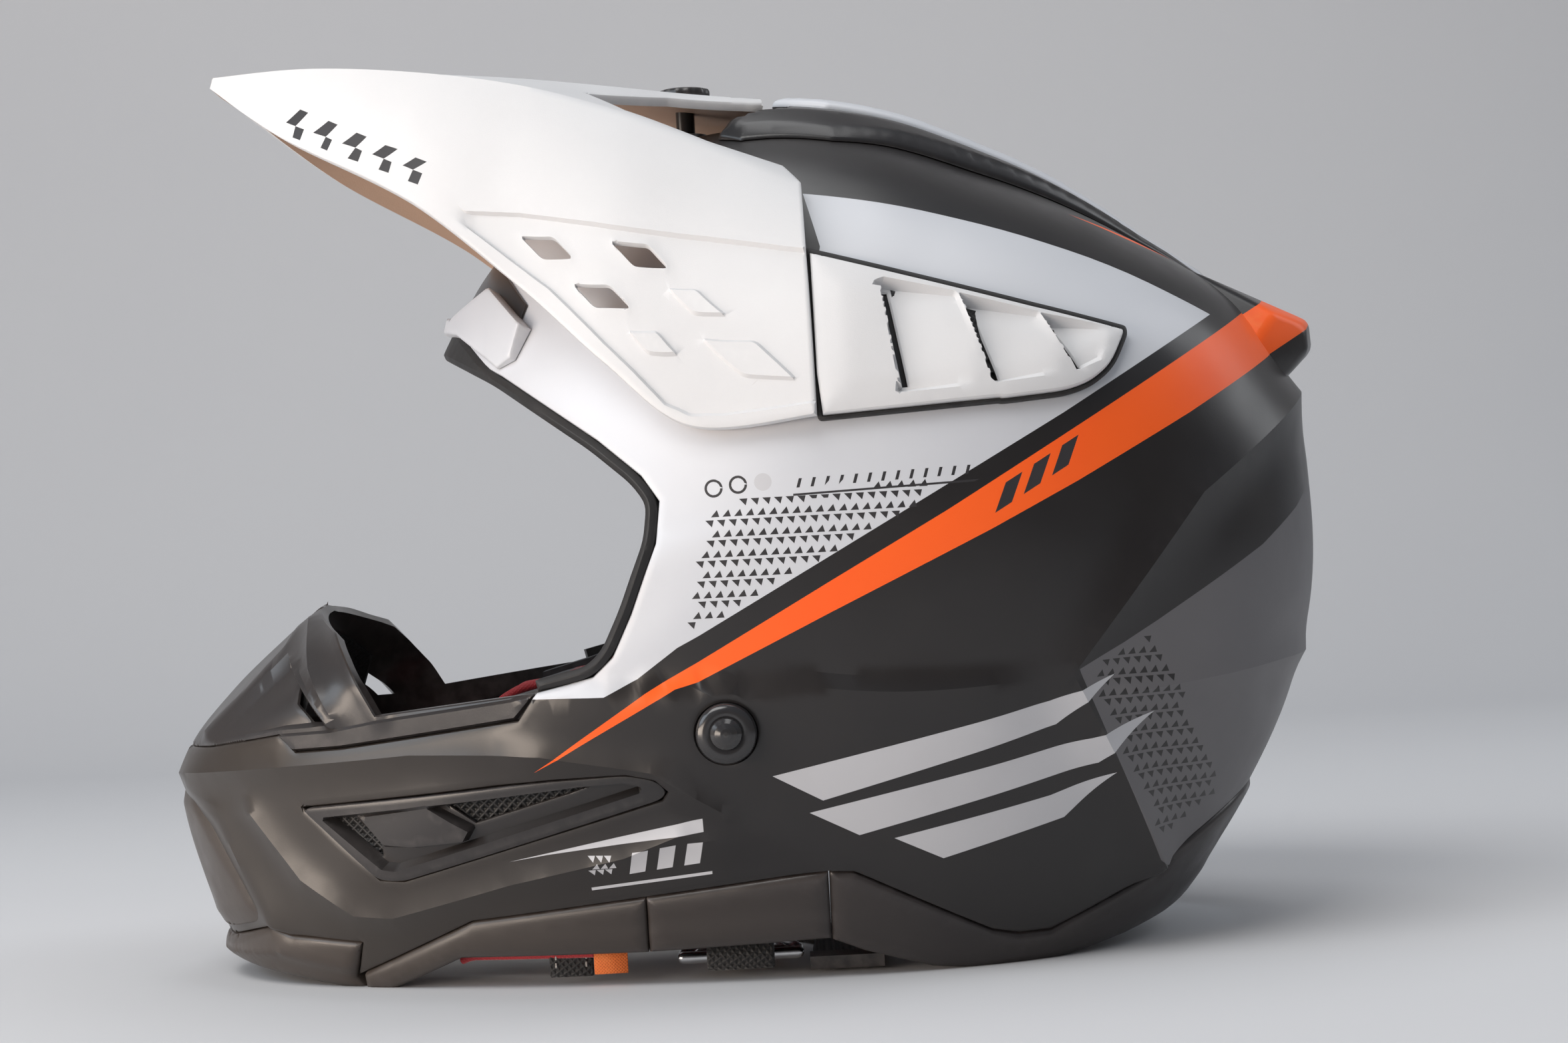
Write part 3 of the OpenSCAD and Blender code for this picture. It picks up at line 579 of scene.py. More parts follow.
def slope(start, end, depths):
    """Depth that runs evenly from the first to the second value between two points."""
    start, run = np.array(start, float), np.array(end, float) - start

    def rule(points):
        share = np.clip((points - start) @ run / (run @ run), 0, 1)
        return depths[0] + (depths[1] - depths[0]) * share
    return rule


def under(points, height):
    """Side view points of the shell that come to lie at the given ones when lifted by height."""
    points = np.asarray(points, float)
    base = points.copy()
    for _ in range(4):
        p, n = SideChart.place(SideChart.flat(base))
        base += points - (p + n * height)[:, SIDE_AXES]
    return base


# ---------------------------------------------------------------- materials

class Look:
    """Procedural material, built on the object's own coordinates in metres."""

    def __init__(self, name, color, rough, metallic=0.0, coat=0.0, coat_rough=0.2, sheen=0.0,
                 shine=0.5):
        self.material = bpy.data.materials.new(name)
        self.material.use_nodes = True
        self.tree = self.material.node_tree
        self.shader = self.tree.nodes["Principled BSDF"]
        self.color = self.rgb(color)
        self.rough = rough
        self.bumps = []
        self.assign(self.shader, {
            "Metallic": metallic, "Coat Weight": coat, "Coat Roughness": coat_rough,
            "Sheen Weight": sheen, "Specular IOR Level": shine})
        coordinates = self.tree.nodes.new("ShaderNodeTexCoord")
        self.place = coordinates.outputs["Object"]

    @staticmethod
    def rgb(color):
        """Opaque colour."""
        return (*color, 1.0)

    def add(self, kind, inputs=(), **settings):
        """New node with its settings; an input is a value or another node's socket."""
        node = self.tree.nodes.new(kind)
        for key, value in settings.items():
            setattr(node, key, value)
        self.assign(node, dict(inputs))
        return node

    def assign(self, node, inputs):
        """Gives a node's inputs their values, or links them to other nodes' sockets."""
        for key, value in inputs.items():
            if isinstance(value, bpy.types.NodeSocket):
                self.tree.links.new(value, node.inputs[key])
            else:
                node.inputs[key].default_value = value

    def noise(self, size, detail=3.0):
        """Noise whose blobs are about size metres across."""
        return self.add("ShaderNodeTexNoise", {"Vector": self.place, "Scale": 1 / size,
                                               "Detail": detail})

    def between(self, value, low, high, to_low=0.0, to_high=1.0):
        """Value mapped from one range to another, and kept in it."""
        return self.add("ShaderNodeMapRange", {
            "Value": value, "From Min": low, "From Max": high,
            "To Min": to_low, "To Max": to_high}).outputs["Result"]

    def math(self, operation, a, b):
        """Result of a sum or the like on two values."""
        return self.add("ShaderNodeMath", {0: a, 1: b}, operation=operation).outputs[0]

    def tint(self, factor, color):
        """Blends another colour in where factor is 1."""
        blend = self.add("ShaderNodeMix", {0: factor, 6: self.color, 7: self.rgb(color)},
                         data_type="RGBA")
        self.color = blend.outputs[2]
        return self

    def cloud(self, size, color, strength=0.5):
        """Soft blotches of another colour."""
        fog = self.between(self.noise(size).outputs["Fac"], 0.45, 0.7, 0.0, strength)
        return self.tint(fog, color)

    def fade(self, start, end, color):
        """Painted reflection: another colour that comes in along X, from start to end in metres.
        """
        x = self.add("ShaderNodeSeparateXYZ", {"Vector": self.place}).outputs["X"]
        return self.tint(self.between(x, start, end), color)

    def grain(self, size, height):
        """Fine bumps, size metres across and about height metres tall."""
        self.bumps.append((self.noise(size, 2.0).outputs["Fac"], height))
        return self

    def painted(self, height=0.00001):
        """Uneven gloss and orange peel of sprayed paint."""
        return self.uneven(0.02, 0.05).grain(0.0006, height)

    def uneven(self, size, spread_by):
        """Roughness that varies by spread_by."""
        self.rough = self.between(self.noise(size, 4.0).outputs["Fac"], 0.3, 0.7,
                                  self.rough - spread_by, self.rough + spread_by)
        return self

    def lighter_convex_edges(self, color):
        """Lighter colour along convex edges."""
        point = self.add("ShaderNodeNewGeometry").outputs["Pointiness"]
        edge = self.between(point, 0.52, 0.58, 0.0, 0.35)
        broken = self.between(self.noise(0.004).outputs["Fac"], 0.35, 0.65)
        return self.tint(self.math("MULTIPLY", edge, broken), color)

    def threads(self, pitch, height, color=None, turn=45.0):
        """Two crossing sets of ribs, as in a weave, on the object's X and Z."""
        turned = self.add("ShaderNodeMapping", {
            "Vector": self.place, "Rotation": (0, math.radians(turn), 0)}).outputs[0]
        ribs = []
        for direction in ("X", "Z"):
            wave = self.add("ShaderNodeTexWave", {
                "Vector": turned, "Scale": 0.314 / pitch, "Distortion": 0.6,
                "Detail": 1.0, "Detail Scale": 2.0}, bands_direction=direction)
            ribs.append(wave.outputs["Fac"])
        both = self.math("MAXIMUM", *ribs)
        self.bumps.append((both, height))
        if color:
            self.tint(self.between(both, 0.2, 0.9, 1.0, 0.0), color)
        return self

    def cells(self, pitch, height, color=None):
        """Round cells, as in a perforated knit or bead foam."""
        cell = self.add("ShaderNodeTexVoronoi", {"Vector": self.place, "Scale": 1 / pitch},
                        feature="SMOOTH_F1").outputs["Distance"]
        self.bumps.append((cell, -height))
        if color:
            self.tint(self.between(cell, 0.35, 0.75), color)
        return self

    def done(self):
        """Links colour, roughness and bumps, and gives the material back."""
        self.assign(self.shader, {"Base Color": self.color, "Roughness": self.rough})
        normal = None
        for height_map, height in self.bumps:
            bump = self.add("ShaderNodeBump", {
                "Height": height_map, "Distance": abs(height), "Strength": 1.0},
                invert=height < 0)
            if normal:
                self.tree.links.new(normal, bump.inputs["Normal"])
            normal = bump.outputs["Normal"]
        if normal:
            self.tree.links.new(normal, self.shader.inputs["Normal"])
        return self.material


# Paint of the shell: matte clear coat over each colour.
# The black paint's warm tone towards the chin is a painted reflection of warm light from below.
BLACK_PAINT = (Look("matte_black_paint", (0.013, 0.011, 0.011), 0.33, coat=0.15, coat_rough=0.3,
                    shine=0.45)
               .cloud(0.05, (0.020, 0.017, 0.016)).fade(-0.01, -0.12, (0.038, 0.031, 0.026))
               .painted(0.000012).lighter_convex_edges((0.09, 0.08, 0.075)).done())
WHITE_PAINT = (Look("satin_white_paint", (0.60, 0.61, 0.64), 0.42, coat=0.3, coat_rough=0.35)
               .cloud(0.06, (0.55, 0.56, 0.60)).painted().lighter_convex_edges((0.72, 0.72, 0.73)).done())
GREY_PAINT = (Look("matte_grey_paint", (0.125, 0.12, 0.125), 0.48, coat=0.15, coat_rough=0.45)
              .cloud(0.05, (0.15, 0.142, 0.145)).painted(0.000012)
              .lighter_convex_edges((0.24, 0.23, 0.23)).done())
ORANGE_PAINT = (Look("fluorescent_orange_paint", (1.0, 0.125, 0.014), 0.42, coat=0.15,
                     coat_rough=0.38, shine=0.3)
                .cloud(0.04, (0.98, 0.105, 0.012)).painted()
                .lighter_convex_edges((0.98, 0.3, 0.08)).done())
INK = (Look("dark_print", (0.030, 0.028, 0.030), 0.5, coat=0.1, coat_rough=0.4, shine=0.3)
       .cloud(0.03, (0.042, 0.039, 0.041)).uneven(0.02, 0.05).grain(0.0005, 0.00001).done())
PALE_PRINT = (Look("pale_print", (0.52, 0.52, 0.54), 0.45, coat=0.25, coat_rough=0.4)
              .cloud(0.03, (0.46, 0.46, 0.48)).uneven(0.02, 0.05).grain(0.0005, 0.00001)
              .done())
PEAK_WHITE = (Look("moulded_white", (0.66, 0.655, 0.66), 0.5)
              .cloud(0.04, (0.61, 0.605, 0.61)).uneven(0.015, 0.06).grain(0.0004, 0.00003)
              .lighter_convex_edges((0.76, 0.755, 0.75)).done())
# The visor's underside is tan as painted warm sunlight on it.
SUNLIT_PEAK_UNDERSIDE = (Look("peak_underside_painted_sunlight", (0.62, 0.44, 0.33), 0.6)
               .cloud(0.05, (0.56, 0.39, 0.29)).uneven(0.02, 0.06).grain(0.0005, 0.00004)
               .done())
# The dark moulding's warm tone towards the front is a painted reflection.
DARK_PLASTIC = (Look("dark_moulding", (0.016, 0.014, 0.014), 0.32, coat=0.1, shine=0.5)
                .cloud(0.03, (0.026, 0.023, 0.023)).fade(-0.03, -0.13, (0.032, 0.028, 0.027))
                .uneven(0.03, 0.03).grain(0.0005, 0.00002).lighter_convex_edges((0.12, 0.105, 0.1)).done())
# The trim's warm tone towards the front is a painted reflection.
TRIM_PLASTIC = (Look("edge_trim_moulding", (0.024, 0.020, 0.020), 0.36, shine=0.5)
                .cloud(0.03, (0.034, 0.029, 0.028)).fade(0.06, -0.10, (0.055, 0.044, 0.037))
                .uneven(0.012, 0.06).grain(0.0004, 0.00003).lighter_convex_edges((0.14, 0.12, 0.115)).done())
RUBBER = (Look("black_rubber", (0.016, 0.015, 0.015), 0.62)
          .cloud(0.02, (0.026, 0.024, 0.024)).uneven(0.01, 0.08).grain(0.0004, 0.00002)
          .lighter_convex_edges((0.06, 0.057, 0.055)).done())
GLOSS_PLASTIC = (Look("gloss_washer", (0.02, 0.019, 0.02), 0.22, coat=0.3, coat_rough=0.12)
                 .cloud(0.01, (0.03, 0.028, 0.028)).uneven(0.006, 0.05)
                 .grain(0.0007, 0.000008).lighter_convex_edges((0.09, 0.085, 0.08)).done())
FOAM = (Look("bead_foam", (0.055, 0.055, 0.058), 0.8)
        .cells(0.003, 0.0003, (0.03, 0.03, 0.032)).grain(0.0006, 0.00003).done())
FILTER = (Look("filter_foam", (0.02, 0.02, 0.02), 0.9)
          .cells(0.0012, 0.0004, (0.005, 0.005, 0.005)).grain(0.0004, 0.00006).done())
AIR_MESH = (Look("air_mesh", (0.02, 0.019, 0.019), 0.5)
            .threads(0.002, 0.0006, (0.004, 0.004, 0.004)).grain(0.0005, 0.00002).done())
KNIT = (Look("brushed_knit", (0.026, 0.025, 0.027), 0.85, sheen=0.35)
        .cloud(0.02, (0.036, 0.034, 0.036)).threads(0.0011, 0.00012, (0.015, 0.015, 0.016))
        .grain(0.0005, 0.00008).done())
OPEN_KNIT = (Look("perforated_knit", (0.03, 0.029, 0.031), 0.8, sheen=0.3)
             .cells(0.0026, 0.0005, (0.01, 0.01, 0.01)).grain(0.0005, 0.00006).done())
RED_PIPING = (Look("red_piping", (0.45, 0.018, 0.024), 0.6, sheen=0.3)
              .cloud(0.01, (0.36, 0.012, 0.018)).threads(0.0009, 0.0001)
              .grain(0.0004, 0.00004).done())
WEBBING = (Look("woven_webbing", (0.017, 0.017, 0.018), 0.62, sheen=0.25)
           .threads(0.0016, 0.0004, (0.008, 0.008, 0.008), turn=35.0)
           .cloud(0.012, (0.03, 0.029, 0.03)).grain(0.0004, 0.00005).done())
RED_TAPE = (Look("red_tape", (0.5, 0.012, 0.02), 0.6, sheen=0.3)
            .threads(0.0012, 0.0003, (0.3, 0.006, 0.012)).cloud(0.01, (0.6, 0.02, 0.03))
            .grain(0.0004, 0.00004).done())
THREAD = (Look("stitching", (0.55, 0.53, 0.5), 0.7, sheen=0.2)
          .cloud(0.004, (0.42, 0.41, 0.4)).threads(0.0005, 0.00008)
          .grain(0.0003, 0.00003).done())
TAG_CLOTH = (Look("orange_label", (0.85, 0.19, 0.03), 0.65, sheen=0.2)
             .threads(0.0007, 0.0001, (0.66, 0.13, 0.02)).cloud(0.006, (0.9, 0.24, 0.05))
             .grain(0.0004, 0.00002).done())
STEEL = (Look("ring_steel", (0.62, 0.62, 0.63), 0.2, metallic=1.0)
         .cloud(0.01, (0.5, 0.5, 0.52)).uneven(0.004, 0.07).grain(0.0008, 0.000008)
         .lighter_convex_edges((0.8, 0.8, 0.8)).done())
ZINC = (Look("zinc_steel", (0.42, 0.42, 0.43), 0.35, metallic=1.0)
        .cloud(0.005, (0.34, 0.34, 0.35)).uneven(0.004, 0.08).grain(0.0006, 0.00001).done())
RED_PLASTIC = (Look("red_snap_plastic", (0.42, 0.02, 0.025), 0.4)
               .cloud(0.01, (0.35, 0.015, 0.02)).uneven(0.01, 0.05)
               .grain(0.0005, 0.00001).done())


def fit(piece, body, slot, *nodes):
    """The piece stands for CAD nodes, which it hides, and moves with their body; slot is not used.
    """
    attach(piece, body)
    if nodes:
        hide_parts(*nodes)
    return piece


SIDES = {"left": -1, "right": 1}

# ---------------------------------------------------------------- shell

# Places in the side view of the peak's pivot and of the strap's rivet.
PIVOT, RIVET = (8, 170), (-8.5, 75.0)
RIVET_X, RIVET_Z = RIVET
LEDGE = [[-80, 89.6], [-61.6, 89.4], [20, 88.3], [90.7, 86.8]]
REAR_CREASE = [[176, 168.5], [174.6, 167.3], [131.8, 136.4], [90.7, 86.8], [104.5, 58.1],
               [119.3, 24.7]]
DIAGONAL_CREASE = [[-26, 64], [-12, 52.4], [8.6, 42.4], [20, 33]]
UPPER_SWAGE = [[-186, 64], [-177.2, 65.7], [-139.6, 69], [-101.3, 72], [-62, 71], [-30, 65.1],
               [-10, 52.3]]
REAR_WAIST = [[108, 80], [140, 83], [160, 85.5], [173.6, 86.3], [182, 87]]
LOWER_SWAGE = [[-154.8, 55.2], [-138.4, 34.4], [-122.4, 24.1], [-110.4, 23.5], [-74.5, 33],
               [-40.1, 40], [-23.6, 46.1], [-10, 42.5]]
CHIN_EDGE = [[-177, 61], [-166.4, 52.1], [-154.8, 28.7], [-150.2, 19.3]]
MOUTH_SEAM = [[-200, 72], [-170, 74], [-144, 78], [-138, 73], [-123, 74], [-68, 81],
              [-62, 88.8]]
CHIN_VENT = [[-138, 56.2], [-60.8, 63.4], [-38, 64.4], [-29.5, 62.6], [-26, 59], [-28, 56.2],
             [-106.6, 33.9], [-114, 34.3]]
HEM = [[-200, 14], [-168, 14], [-152, 19], [-145, 16.5], [-122, 14.5], [-125, 3.5],
       [-87, 21], [-44, 26], [19, 33], [26, 32], [66, 11], [74, 9], [84, 9], [118, 23],
       [122, 28], [146, 42], [200, 70]]
PORT_EDGE = [[-62, 88.8], [-46, 92.5], [-40, 98], [-34, 110], [-26, 130], [-24.5, 142],
             [-29.5, 149.5], [-42, 160.5], [-72, 182.5], [-90, 193], [-140, 222]]

WHITE_TOP = soften([[142.2, 189.7], [112, 206], [80, 217.5], [50, 225.8], [21.8, 230.8],
                    [0, 233]], 13, closed=False)
WHITE_AREA = [[-42.6, 87.1], [-33.1, 91.5], [-21.2, 99.9], [-14.9, 103], [92.5, 161.2],
              *WHITE_TOP, [-60, 300], [-160, 300], [-160, 87]]
# Black strip between the visor's lobe and the white panel. The shell under the side pod is painted
# black: painted shade, seen through the louvre slits.
LOBE_SHADOW = [[6, 237], [21.4, 231.5], [25.6, 213.4], [24, 205], [6, 205]]
PAINTED_POD_SHADE = [[36, 203], [40, 169], [97, 172], [107, 184]]
STRIPE = [[-64.3, 66.1], [-30.9, 87.6], [-15.4, 95.6], [23.6, 116.9], [57.8, 135.3],
          [102.6, 160.8], [165.2, 196.7], [190, 203], [200, 196], [183.3, 188.9],
          [131, 159.9], [95.7, 141.6], [69.7, 129], [23.1, 107.9], [-15.7, 89.9],
          [-22.4, 88.3]]
SLIVER = [[103.3, 223.9], [145, 205.8], [165.2, 196.7], [190, 203], [180, 204], [146, 208.2]]
GREY_AREA = [[200, 150], [170.5, 134.6], [166.9, 130.8], [152.9, 120.1], [138, 111.6],
             [117.4, 100], [106.8, 94.5], [92.6, 88.1], [104.5, 58.1], [116.9, 28.4],
             [150, 0], [220, 60]]


def rows_of_triangles(corners, pitch, size):
    """Small triangles on a grid inside an outline, in the side view, each row turned over."""
    low, high = np.min(corners, 0), np.max(corners, 0)
    centres = spread((low + pitch / 2, high), pitch)
    centres = centres[in_outline(centres, inset(corners, size * 0.7))]
    rows = np.round((centres[:, 1] - low[1] - pitch / 2) / (pitch * 0.866)).astype(int)
    tips = np.where(rows % 2, -size, size)
    return [[[x - size * 0.6, z - tip * 0.5], [x + size * 0.6, z - tip * 0.5],
             [x + size * 0.3, z + tip * 0.5]] for (x, z), tip in zip(centres, tips)]


def slanted(x, z, width, height, lean, rise=0.0):
    """Bar that leans, from its lower left corner."""
    return [[x, z], [x + width, z + rise * width], [x + width + lean, z + height + rise * width],
            [x + lean, z + height]]


WHITE_DOTS = [[-11, 141], [54, 146], [50, 136.5], [-20, 101.5]]
GREY_DOTS = [[94.5, 88.2], [116, 98.5], [126.3, 76.7], [140, 46.5], [117.5, 33], [105.5, 59]]
# Three forward-slanting pointed bars on the lower side.
SPEED_LINES = [[[4, 62], [84, 79], [104, 85.5], [86, 72], [18, 54]],
               [[14, 50.5], [96, 67.5], [116, 73.5], [98, 60], [28, 43]],
               [[38, 41.5], [84, 51], [103, 57], [88, 44], [52, 34.5]]]
WEDGE = [[-74, 39.4], [-16.7, 50.7], [-16.6, 46.8], [-62.5, 41.2]]
CHIN_CHECKER = [[-52, 41.5], [-42.5, 43], [-41.5, 34.2], [-50.7, 32.5]]
CHIN_BARS = [slanted(-39 + 8 * i, 34.6 + 0.9 * i, 4.6, 7, 1.5, 0.12) for i in range(3)]
CHIN_RULE = [[-50.5, 30.8], [-15, 34.4], [-15, 33.5], [-50.4, 29.9]]
STRIPE_SLASHES = [slanted(71 + 8.5 * i, 133.5 + 4.9 * i, 5, 8.5, 3.5, 0.57) for i in range(3)]
SIDE_RULE = [[14, 141.9], [67, 143.4], [67, 142.8], [14, 141.3]]
SIDE_TICKS = [slanted(15 + 4 * i, 143.6 + 0.112 * i, 0.9, 2.6, 0.8) for i in range(13)]


def ring_print(x, z, outer, inner):
    """Printed ring, as the outline of a band cut open at one place."""
    a = np.linspace(0.02, 2 * np.pi - 0.02, 30)
    rim = [[x + outer * np.cos(t), z + outer * np.sin(t)] for t in a]
    return rim + [[x + inner * np.cos(t), z + inner * np.sin(t)] for t in a[::-1]]


def ridge(x, z, line, width, height):
    """Raised crease that fades out within width of a line."""
    t = np.clip(line_gap(np.stack([x, z], 1), line) / width, 0, 1)
    return height * (1 - t)**2


LEDGE_DEPTH = 2.4
# Each crease of the shell with its width and height.
CREASES = [(REAR_CREASE, 15, 3.0), (REAR_WAIST, 10, 1.6), (DIAGONAL_CREASE, 12, 1.3),
           (UPPER_SWAGE, 9, 1.9), (LOWER_SWAGE, 9, 2.1), (CHIN_EDGE, 12, 2.5)]


def shell_relief(p, e, q):
    """Step under the eye port and the shell's pressed creases."""
    x, z = p[:, 0], p[:, 2]
    ledge = height_on(LEDGE, x)
    step = smooth_step((ledge + 2.2 - z) / 4.6)
    step *= 1 - smooth_step((ledge - 4 - z) / 44)
    step *= 1 - smooth_step((x - 62) / 30)
    step *= smooth_step((x + 78) / 16)
    out = LEDGE_DEPTH * step
    for line, width, height in CREASES:
        out += ridge(x, z, line, width, height)
    return -out


shell_outline = (PORT_EDGE + [[-140, 330], [300, 330], [300, 100]] + HEM[::-1]
                 + [[-200, 40]] + MOUTH_SEAM[:-1])
POD_HOLE = [[48, 196], [50, 174], [90, 177], [92, 184]]
shell_holes = [CHIN_VENT, circle(PIVOT, 3.4, 20), circle(RIVET, 8.9, 40), POD_HOLE]
shell_prints = ([(WHITE_AREA, 1), (LOBE_SHADOW, 0), (PAINTED_POD_SHADE, 0), (GREY_AREA, 2),
                 (STRIPE, 3), (SLIVER, 3)]
                + [(t, 4) for t in rows_of_triangles(WHITE_DOTS, 3.3, 2.0)]
                + [(t, 5) for t in rows_of_triangles(GREY_DOTS, 3.3, 2.0)]
                + [(b, 6) for b in SPEED_LINES]
                + [(b, 6) for b in [WEDGE, CHIN_RULE] + CHIN_BARS]
                + [(t, 6) for t in rows_of_triangles(CHIN_CHECKER, 2.4, 1.8)]
                + [(b, 4) for b in STRIPE_SLASHES + [SIDE_RULE] + SIDE_TICKS]
                + [(ring_print(-8.5, 144.6, 2.6, 1.9), 4), (ring_print(-1.5, 145.3, 2.6, 1.9), 4),
                   (circle((5.6, 145.7), 2.5, 24), 6)])
shell = panel("shell", SideChart, [shell_outline] + shell_holes, shell_relief, 3.5,
              [BLACK_PAINT, WHITE_PAINT, GREY_PAINT, ORANGE_PAINT, INK, BLACK_PAINT,
               PALE_PRINT], step=3.0, rounding=0.8,
              lines=[REAR_CREASE, REAR_WAIST, DIAGONAL_CREASE, UPPER_SWAGE, LOWER_SWAGE[:-1]],
              regions=shell_prints, sharp=25)
fit(shell, "root", "shell_paint", "outer_shell")

# ---------------------------------------------------------------- visor

VISOR_TOP, VISOR_CREASE_V, VISOR_LOW = VISOR_BANDS[1:]


def visor_side(points):
    """Chart points of the visor's side from side view points."""
    return VisorChart.find(np.asarray(points, float), SIDE_AXES, VISOR_CREASE_V, VISOR_LOW)


def visor_top(points):
    """Chart points of the visor's top from plan view points."""
    return VisorChart.find(np.asarray(points, float), PLAN_AXES, 0, VISOR_CREASE_V)


def visor_outline():
    """Tip, lower edge and rear edge of the right half, with the rear opening cut in."""
    opening = visor_top(dense([[-42, 56], [-18, 39], [11, 29]], 3, closed=False))
    back = visor_top(dense([[19, 78], [-6, 77], [-30, 70], [-42, 56]], 3, closed=False))
    tail = [[VISOR_LENGTH, VISOR_LOW], [VISOR_LENGTH, VISOR_CREASE_V]]
    return np.concatenate([[[0, -1e-4], [0, VISOR_LOW]], tail, back[1:-1], opening,
                           [[VISOR_LENGTH, opening[-1][1]], [VISOR_LENGTH, -1e-4]]])


CUT_DIAMONDS = [[[-61.5, 221.5], [-52, 220.5], [-46.5, 214], [-55.5, 214.5]],
                [[-35, 218], [-24, 216.5], [-18.5, 209.5], [-28.5, 210.5]],
                [[-46.5, 206], [-36, 205], [-30, 198], [-40.5, 199]]]
RAISED_DIAMONDS = [[[-19.5, 203.5], [-10.5, 202.7], [-1.5, 193.8], [-11.8, 194.7]],
                   [[-31.5, 191.5], [-22.5, 191], [-16.2, 183.2], [-25.5, 184]],
                   [[-10.5, 188.2], [5.5, 186.4], [17, 174], [1.2, 175.8]]]
cut_rings = [soften(visor_side(d), 1.5) for d in CUT_DIAMONDS]
raised_rings = [soften(visor_side(d), 1.6) for d in RAISED_DIAMONDS]
# Inner edge of the raised rim, and the edge of the side's upper facet.
rim_line = visor_side(dense([[-150, 268], [-127, 253], [-100, 238], [-77.9, 226],
                             [-53.4, 205.5], [-29.8, 180], [-21, 170], [-14, 166.5],
                             [-4, 166], [21.4, 168]], 6, closed=False))
facet_line = visor_side(dense([[-77.9, 230.1], [-61.6, 228.3], [-28.5, 221.6],
                               [20.5, 212.4]], 6, closed=False))

FIELD_DEPTH, FIELD_WALL, FIELD_START = 1.3, 0.9, 6
DIAMOND_HEIGHT, DIAMOND_WALL = 1.1, 0.8
LIP_HEIGHT, LIP_WIDTH = 0.6, 1.6


def above(q, line):
    """How far chart points lie beyond a line that runs along U."""
    return q[:, 1] - height_on(line, q[:, 0])


def visor_relief(p, e, q):
    """Raised rim along the lower edge, a sunk field, and raised diamonds and lips in it."""
    field = np.clip(above(q, facet_line) / FIELD_WALL, 0, 1)
    field *= 1 - np.clip(above(q, rim_line) / FIELD_WALL, 0, 1)
    field *= smooth_step((q[:, 0] - facet_line[0, 0]) / FIELD_START + 0.5)
    out = -FIELD_DEPTH * field
    for ring in raised_rings:
        gap = line_gap(q, ring, closed=True)
        out += in_outline(q, ring) * DIAMOND_HEIGHT * np.clip(gap / DIAMOND_WALL, 0, 1)
    for ring in cut_rings:
        out += LIP_HEIGHT * (1 - smooth_step(line_gap(q, ring, closed=True) / LIP_WIDTH))
    return -out


CHEVRONS, CHEVRON_AT, CHEVRON_STEP = 5, (-133, 262.5), (9.2, -4.3)


def peak_prints():
    """Row of plain chevrons near the tip, each a little lower than the one before."""
    bars = []
    for i in range(CHEVRONS):
        x, z = CHEVRON_AT[0] + CHEVRON_STEP[0] * i, CHEVRON_AT[1] + CHEVRON_STEP[1] * i
        lower = 0.4 * i
        bars.append([[x, z], [x + 3.4, z - 1.6], [x + 7.6, z + 2.2 - lower],
                     [x + 4.2, z + 3.8 - lower]])
        bars.append([[x + 3.4, z - 1.6], [x + 6.2, z - 2.9], [x + 4.6, z - 6.2],
                     [x + 1.8, z - 4.9]])
    return [visor_side(b) for b in bars]


visor_lines = [facet_line, facet_line + [0, FIELD_WALL], rim_line, rim_line + [0, FIELD_WALL]]
visor_lines += [np.vstack([ring, ring[:1]]) for r in raised_rings
                for ring in (r, inset(r, DIAMOND_WALL))]
visor = panel("visor_peak", VisorChart, [visor_outline()] + cut_rings, visor_relief, 3.0,
              [PEAK_WHITE, INK, SUNLIT_PEAK_UNDERSIDE], step=3.0, rounding=1.0,
              lines=visor_lines + [[[0.5, VISOR_TOP], [170, VISOR_TOP]],
                                   [[0.5, VISOR_CREASE_V], [182, VISOR_CREASE_V]]],
              regions=[(b, 1) for b in peak_prints()], back=2, sharp=40)
fit(visor, "visor", "visor_plastic", "visor")

# ---------------------------------------------------------------- side pods

POD_FRONT = 22.5
POD_HEIGHT, SEAL_HEIGHT = 5.0, 3.2
POD = [[POD_FRONT, 211.5], [POD_FRONT, 176], [23.6, 164], [72.6, 166.3], [94, 168], [101.5, 170.4],
       [107.5, 175], [113.6, 186.4]]
pod_seen = np.concatenate([POD[:3], soften(POD[3:], 4)[2:-2]])
pod_outline = under(pod_seen, POD_HEIGHT)
# Each louvre starts deep at a slit and comes back up to the pod's face.
LOUVRES = [
    [[41.6, 203.2], [46.2, 168.9], [72.1, 170.2], [64.3, 197.6]],
    [[64.8, 197.2], [72.6, 170.3], [96.4, 172.6], [87.5, 190.8]],
    [[88.0, 190.4], [96.8, 172.9], [104.4, 175.8], [109.2, 185.4]]]
LOUVRE_DEEP, LOUVRE_TOP, LOUVRE_WALL, SLIT = 4.3, 0.1, 1.2, 1.5
SLIT_ENDS = (0.09, 0.93)      # shares of a louvre's deep side between which its slit runs
louvres = Steps()
slits = []
for corners in LOUVRES:
    top, low, low_end, top_end = under(corners, POD_HEIGHT)
    louvres.add([low, low_end, top_end, top],
                slope((top + low) / 2, (top_end + low_end) / 2, (LOUVRE_DEEP, LOUVRE_TOP)),
                LOUVRE_WALL, open_end=True)
    foot, across = np.array([LOUVRE_WALL * 0.8, 0]), np.array([SLIT, 0])
    first, last = (top + (low - top) * share + foot for share in SLIT_ENDS)
    slits.append([first, last, last + across, first + across])


def pod_relief(p, e, q):
    """Outer skin of the pod, crowned, with its louvres."""
    points = p[:, SIDE_AXES]
    crowned = 0.9 * smooth_step(line_gap(points, pod_outline, closed=True) / 9)
    return -POD_HEIGHT - crowned + louvres.depth(points)


def seal_relief(p, e, q):
    """Flat seal with a soft edge."""
    return -SEAL_HEIGHT + 0.4 - 0.4 * smooth_step(e)


